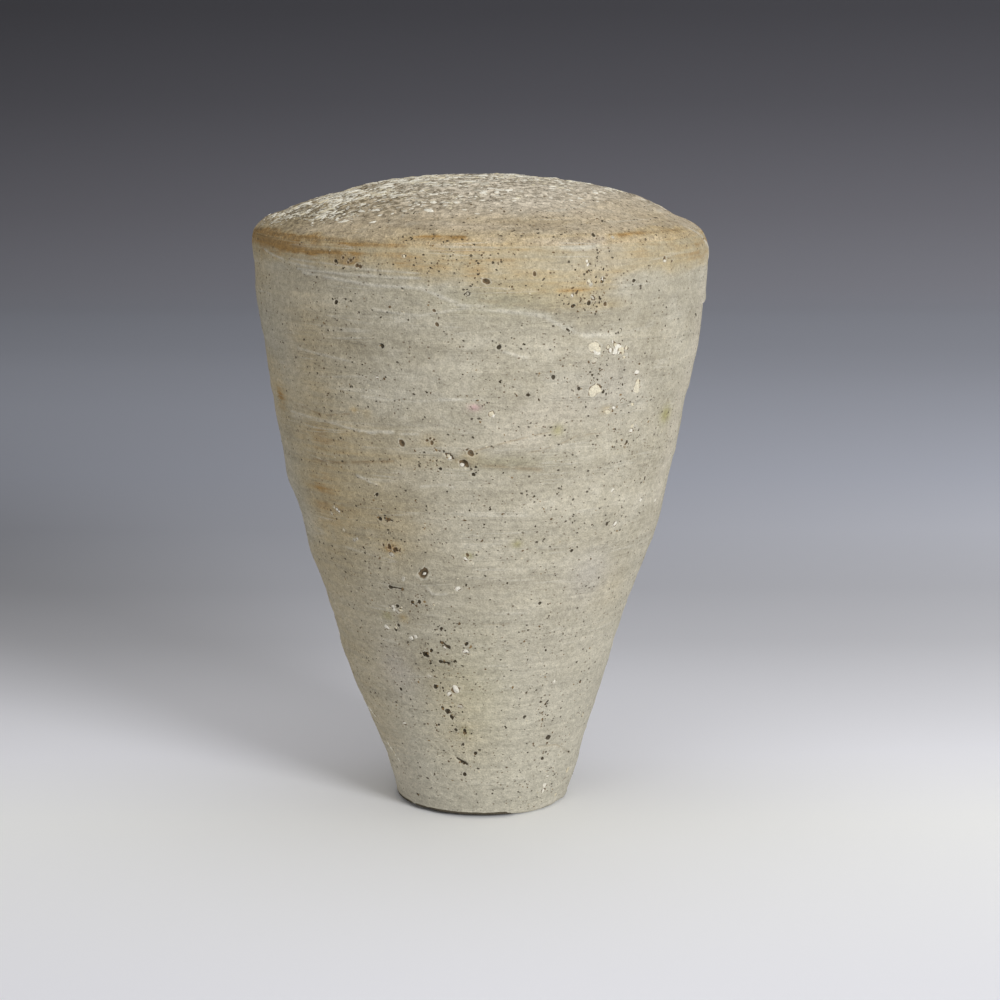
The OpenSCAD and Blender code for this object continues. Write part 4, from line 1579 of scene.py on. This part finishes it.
def clay(name, fresh, dull, crusted, gritty):
    """Unglazed fired clay. crusted says how much lime fleck it carries, gritty how rough its skin is."""
    paint = Paint(name)
    look = SimpleNamespace(**{key: paint.noise(*row) for key, row in PATTERNS.items()})
    colour = paint.mix(paint.span(look.cloud, 0.3, 0.7), fresh, dull)
    colour = paint.mix(paint.span(look.mottle, 0.45, 0.75, 0, 0.26), colour, PALE_DUST)
    colour = stained(paint, look, colour)
    colour, crust_relief = crusted_over(paint, look, colour, crusted)
    colour, wiped_relief = wiped_over(paint, look, colour, gritty)
    colour, speck_relief = specked(paint, look, colour)
    colour = pitted(paint, colour)
    height = paint.total(*wiped_relief, *crust_relief, *speck_relief)
    return paint.finish(colour, paint.span(look.mottle, 0.2, 0.8, 0.82, 0.97), height, CLAY_DEPTH)


def grain_paint(name, first, second, third):
    """Mineral grains of three colours, one for each grain by its tint."""
    paint = Paint(name)
    tint = paint.value("tint")
    colour = paint.mix(paint.span(tint, 0.5, 0.6), first, second)
    colour = paint.mix(paint.span(tint, 0.78, 0.88), colour, third)
    grain = paint.noise((0.45, 0.45, 0.45), 3.0, 0.65)
    colour = paint.shade(colour, paint.span(grain, 0.28, 0.72, 0.74, 1.08))
    return paint.finish(colour, paint.span(grain, 0.3, 0.7, 0.85, 0.97), grain, GRAIN_DEPTH)


# The vessel's pieces

WALL_PAINT = clay("wall_clay", GREY_CLAY, DULL_CLAY, crusted=0.3, gritty=0.2)
BAND_PAINT = clay("band_clay", GREY_CLAY, DULL_CLAY, crusted=0.3, gritty=0.2)
SLIP_PAINT = clay("joint_slip", DULL_CLAY, DOME_DULL, crusted=0.0, gritty=0.6)
DOME_PAINT = clay("dome_clay", DOME_CLAY, DOME_DULL, crusted=1.0, gritty=1.0)
LIME_PAINT = grain_paint("lime", LIME_WHITE, LIME_CREAM, LIME_GREY)
CRUST_PAINT = grain_paint("lime_crust", CRUST_WHITE, LIME_CREAM, LIME_GREY)
GRIT_PAINT = grain_paint("dark_grit", SPECK_DARK, SPECK_BROWN, BROWN_LINE)


def dress(piece, paint, slot, *nodes):
    """Gives a piece its material and the solids that it stands for. slot is not used."""
    piece.data.materials.append(paint)
    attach(piece, "root")
    if nodes:
        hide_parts(*nodes)


dress(make_base(), WALL_PAINT, "wall_clay", "base_disc")
dress(make_slip("base_slip_edge", at_place(BASE_H), BASE_H), WALL_PAINT, "joint_slip", "base_slip")
dress(make_lower_wall(), WALL_PAINT, "wall_clay", "lower_wall")
dress(make_slip("wall_slip_edge", joint_line, JOINT_Z), WALL_PAINT, "joint_slip", "wall_slip")
dress(make_upper_wall(), WALL_PAINT, "wall_clay", "upper_wall")
dress(make_shoulder_slip(), SLIP_PAINT, "joint_slip", "shoulder_slip")
dress(make_band(), BAND_PAINT, "band_clay", "shoulder_band")
dress(make_dome(), DOME_PAINT, "dome_clay", "dome")
grains = make_lumps("lime_grains", marks.lime, ball(3), flatness=0.32, stretch=1.5, sink=0.45)
dress(grains, LIME_PAINT, "wall_clay")
flakes = crust_spots(FLAKES)
flakes = make_lumps("lime_crust", flakes, flake(), flatness=0.36, stretch=2.7, sink=0.35, swing=0.7)
dress(flakes, CRUST_PAINT, "dome_clay")
beads = make_lumps("lime_scratches", scratch_spots(), ball(2), flatness=0.5, stretch=1.6, sink=0.4)
dress(beads, CRUST_PAINT, "wall_clay")
grit = make_lumps("dark_grit", marks.grit, ball(1), flatness=0.45, stretch=1.5, sink=0.6)
dress(grit, GRIT_PAINT, "wall_clay")


# Stage, light and camera

# The stage in millimetres: its front edge, the wall behind, the bend between, its top and its half width
STAGE_NEAR = -6500.0
STAGE_WALL = 2300.0
STAGE_BEND = 700.0
STAGE_TOP = 1900.0
STAGE_HALF = 6500.0
# Greys of the stage by distance back plus height in metres, partly graduated paper and partly painted
# falloff of the light, its tints near, far and at the top, the distances between which it turns from one to
# the next, and the most that a colour reaches
STAGE_GREYS_AND_FALLOFF = [(-0.16, 0.86), (-0.03, 0.94), (0.04, 0.89), (0.1, 0.775), (0.2, 0.57), (0.3, 0.472),
               (0.435, 0.46), (0.6, 0.448), (0.9, 0.437), (1.25, 0.412), (1.4, 0.416), (1.52, 0.4165),
               (1.6, 0.409), (1.66, 0.393), (1.74, 0.359), (2.0, 0.252), (2.3, 0.148), (2.5, 0.102)]
STAGE_NEAR_TINT = np.array([1.0, 1.015, 1.09])
STAGE_FAR_TINT = np.array([1.0, 1.06, 1.25])
STAGE_TURN = (0.1, 0.7)
STAGE_TOP_TINT = np.array([1.0, 1.01, 1.18])
STAGE_TOP_TURN = (1.5, 1.9)
STAGE_MOST = 0.97
# Painted light and shade across the stage: how much lighter it gets over half a metre to the right, by the
# same distance, and its limits. It is strongest where the vessel's shadow falls on the left
STAGE_SIDE_SHADE = [(-0.16, 0.1), (0.1, 0.17), (0.187, 0.32), (0.293, 0.52), (0.435, 0.72), (0.617, 0.48),
                (0.734, 0.37), (0.87, 0.27), (1.1, 0.18), (2.5, 0.15)]
STAGE_DARKEST = 0.6
STAGE_LIGHTEST = 1.4
STAGE_ROUGHNESS = 0.9
STAGE_GLOSS = 0.1


def make_stage():
    """Plain floor that curves up into a backdrop far behind the vessel. Its grey is painted darker towards
    the backdrop, partly as falloff of the light, and darker on the left as painted shade.
    """
    turns = np.linspace(0, math.pi / 2, 24)
    path = [(y, 0.0) for y in np.linspace(STAGE_NEAR, STAGE_WALL - STAGE_BEND, 30)]
    for turn in turns[1:]:
        path.append((STAGE_WALL - STAGE_BEND * (1 - math.sin(turn)), STAGE_BEND * (1 - math.cos(turn))))
    path.append((STAGE_WALL, STAGE_TOP))
    points = np.array([(x, y, z) for y, z in path for x in (-STAGE_HALF, STAGE_HALF)])
    faces = np.array([(2 * i, 2 * i + 1, 2 * i + 3, 2 * i + 2) for i in range(len(path) - 1)])
    uv = points[faces.ravel()][:, :2]
    floor = new_mesh("stage", points, faces.ravel(), np.full(len(faces), 4), {}, uv)
    paint = Paint("stage_paper")
    split = paint.node("ShaderNodeSeparateXYZ", {0: paint.place})
    back = paint.math("ADD", split.outputs["Y"], split.outputs["Z"])
    stops = []
    for place, grey in STAGE_GREYS_AND_FALLOFF:
        far_share = smooth(place, *STAGE_TURN)
        tint = STAGE_NEAR_TINT + (STAGE_FAR_TINT - STAGE_NEAR_TINT) * far_share
        tint = tint + (STAGE_TOP_TINT - tint) * smooth(place, *STAGE_TOP_TURN)
        stops.append((place, np.minimum(grey * tint, STAGE_MOST)))
    # Painted shade towards the left, strongest where the vessel's shadow falls on the stage
    slope = paint.ramp(back, [(place, (rise, rise, rise)) for place, rise in STAGE_SIDE_SHADE])
    half_metres = paint.math("MULTIPLY", split.outputs["X"], 2.0)
    lighter = paint.math("ADD", paint.math("MULTIPLY", half_metres, slope), 1.0)
    lighter = paint.math("MAXIMUM", paint.math("MINIMUM", lighter, STAGE_LIGHTEST), STAGE_DARKEST)
    paint.put(paint.shader.inputs["Base Color"], paint.shade(paint.ramp(back, stops), lighter))
    paint.shader.inputs["Roughness"].default_value = STAGE_ROUGHNESS
    paint.shader.inputs["Specular IOR Level"].default_value = STAGE_GLOSS
    floor.data.materials.append(paint.material)


# Lamps: name, place and size in millimetres, watts. They are turned to the vessel's middle
LAMPS = [
    ("key", (960, -1290, 680), 500, 17.8),
    ("fill", (-900, -1250, 600), 800, 1.5),
    ("top", (0, 100, 1700), 1400, 7),
]
LIGHT_AIM = (0, 0, 110)
WORLD_COLOUR = (1.0, 0.965, 0.91, 1)
WORLD_LEVEL = 0.38
CAMERA_CLIP = 0.01


def area_light(name, place, size, watts):
    """Soft white square lamp."""
    lamp = bpy.data.lights.new(name, "AREA")
    lamp.size = size * MM
    lamp.energy = watts
    made = bpy.data.objects.new(name, lamp)
    made.location = np.array(place) * MM
    made.rotation_mode = "QUATERNION"
    made.rotation_quaternion = Vector(np.array(LIGHT_AIM) - np.array(place)).to_track_quat("-Z", "Y")
    bpy.context.scene.collection.objects.link(made)


def make_light():
    """The lamps, and an even pale light from all sides."""
    for lamp in LAMPS:
        area_light(*lamp)
    world = bpy.data.worlds.new("studio")
    world.use_nodes = True
    background = world.node_tree.nodes["Background"]
    background.inputs["Color"].default_value = WORLD_COLOUR
    background.inputs["Strength"].default_value = WORLD_LEVEL
    bpy.context.scene.world = world


def make_camera():
    """Camera at the photograph's viewpoint, turned so that the axis lies where the photograph has it."""
    camera = bpy.data.cameras.new("camera")
    camera.lens = CAMERA_LENS
    camera.sensor_width = SENSOR
    camera.clip_start = CAMERA_CLIP
    made = bpy.data.objects.new("camera", camera)
    made.location = (0, -CAMERA_BACK * MM, CAMERA_UP * MM)
    turn = math.atan2(FRAME_PX / 2 - AXIS_PX, FOCAL_PX)
    made.rotation_euler = (math.radians(90 - CAMERA_PITCH), 0, -turn)
    bpy.context.scene.collection.objects.link(made)
    bpy.context.scene.camera = made


make_stage()
make_light()
make_camera()
bpy.context.scene.view_settings.view_transform = "Standard"
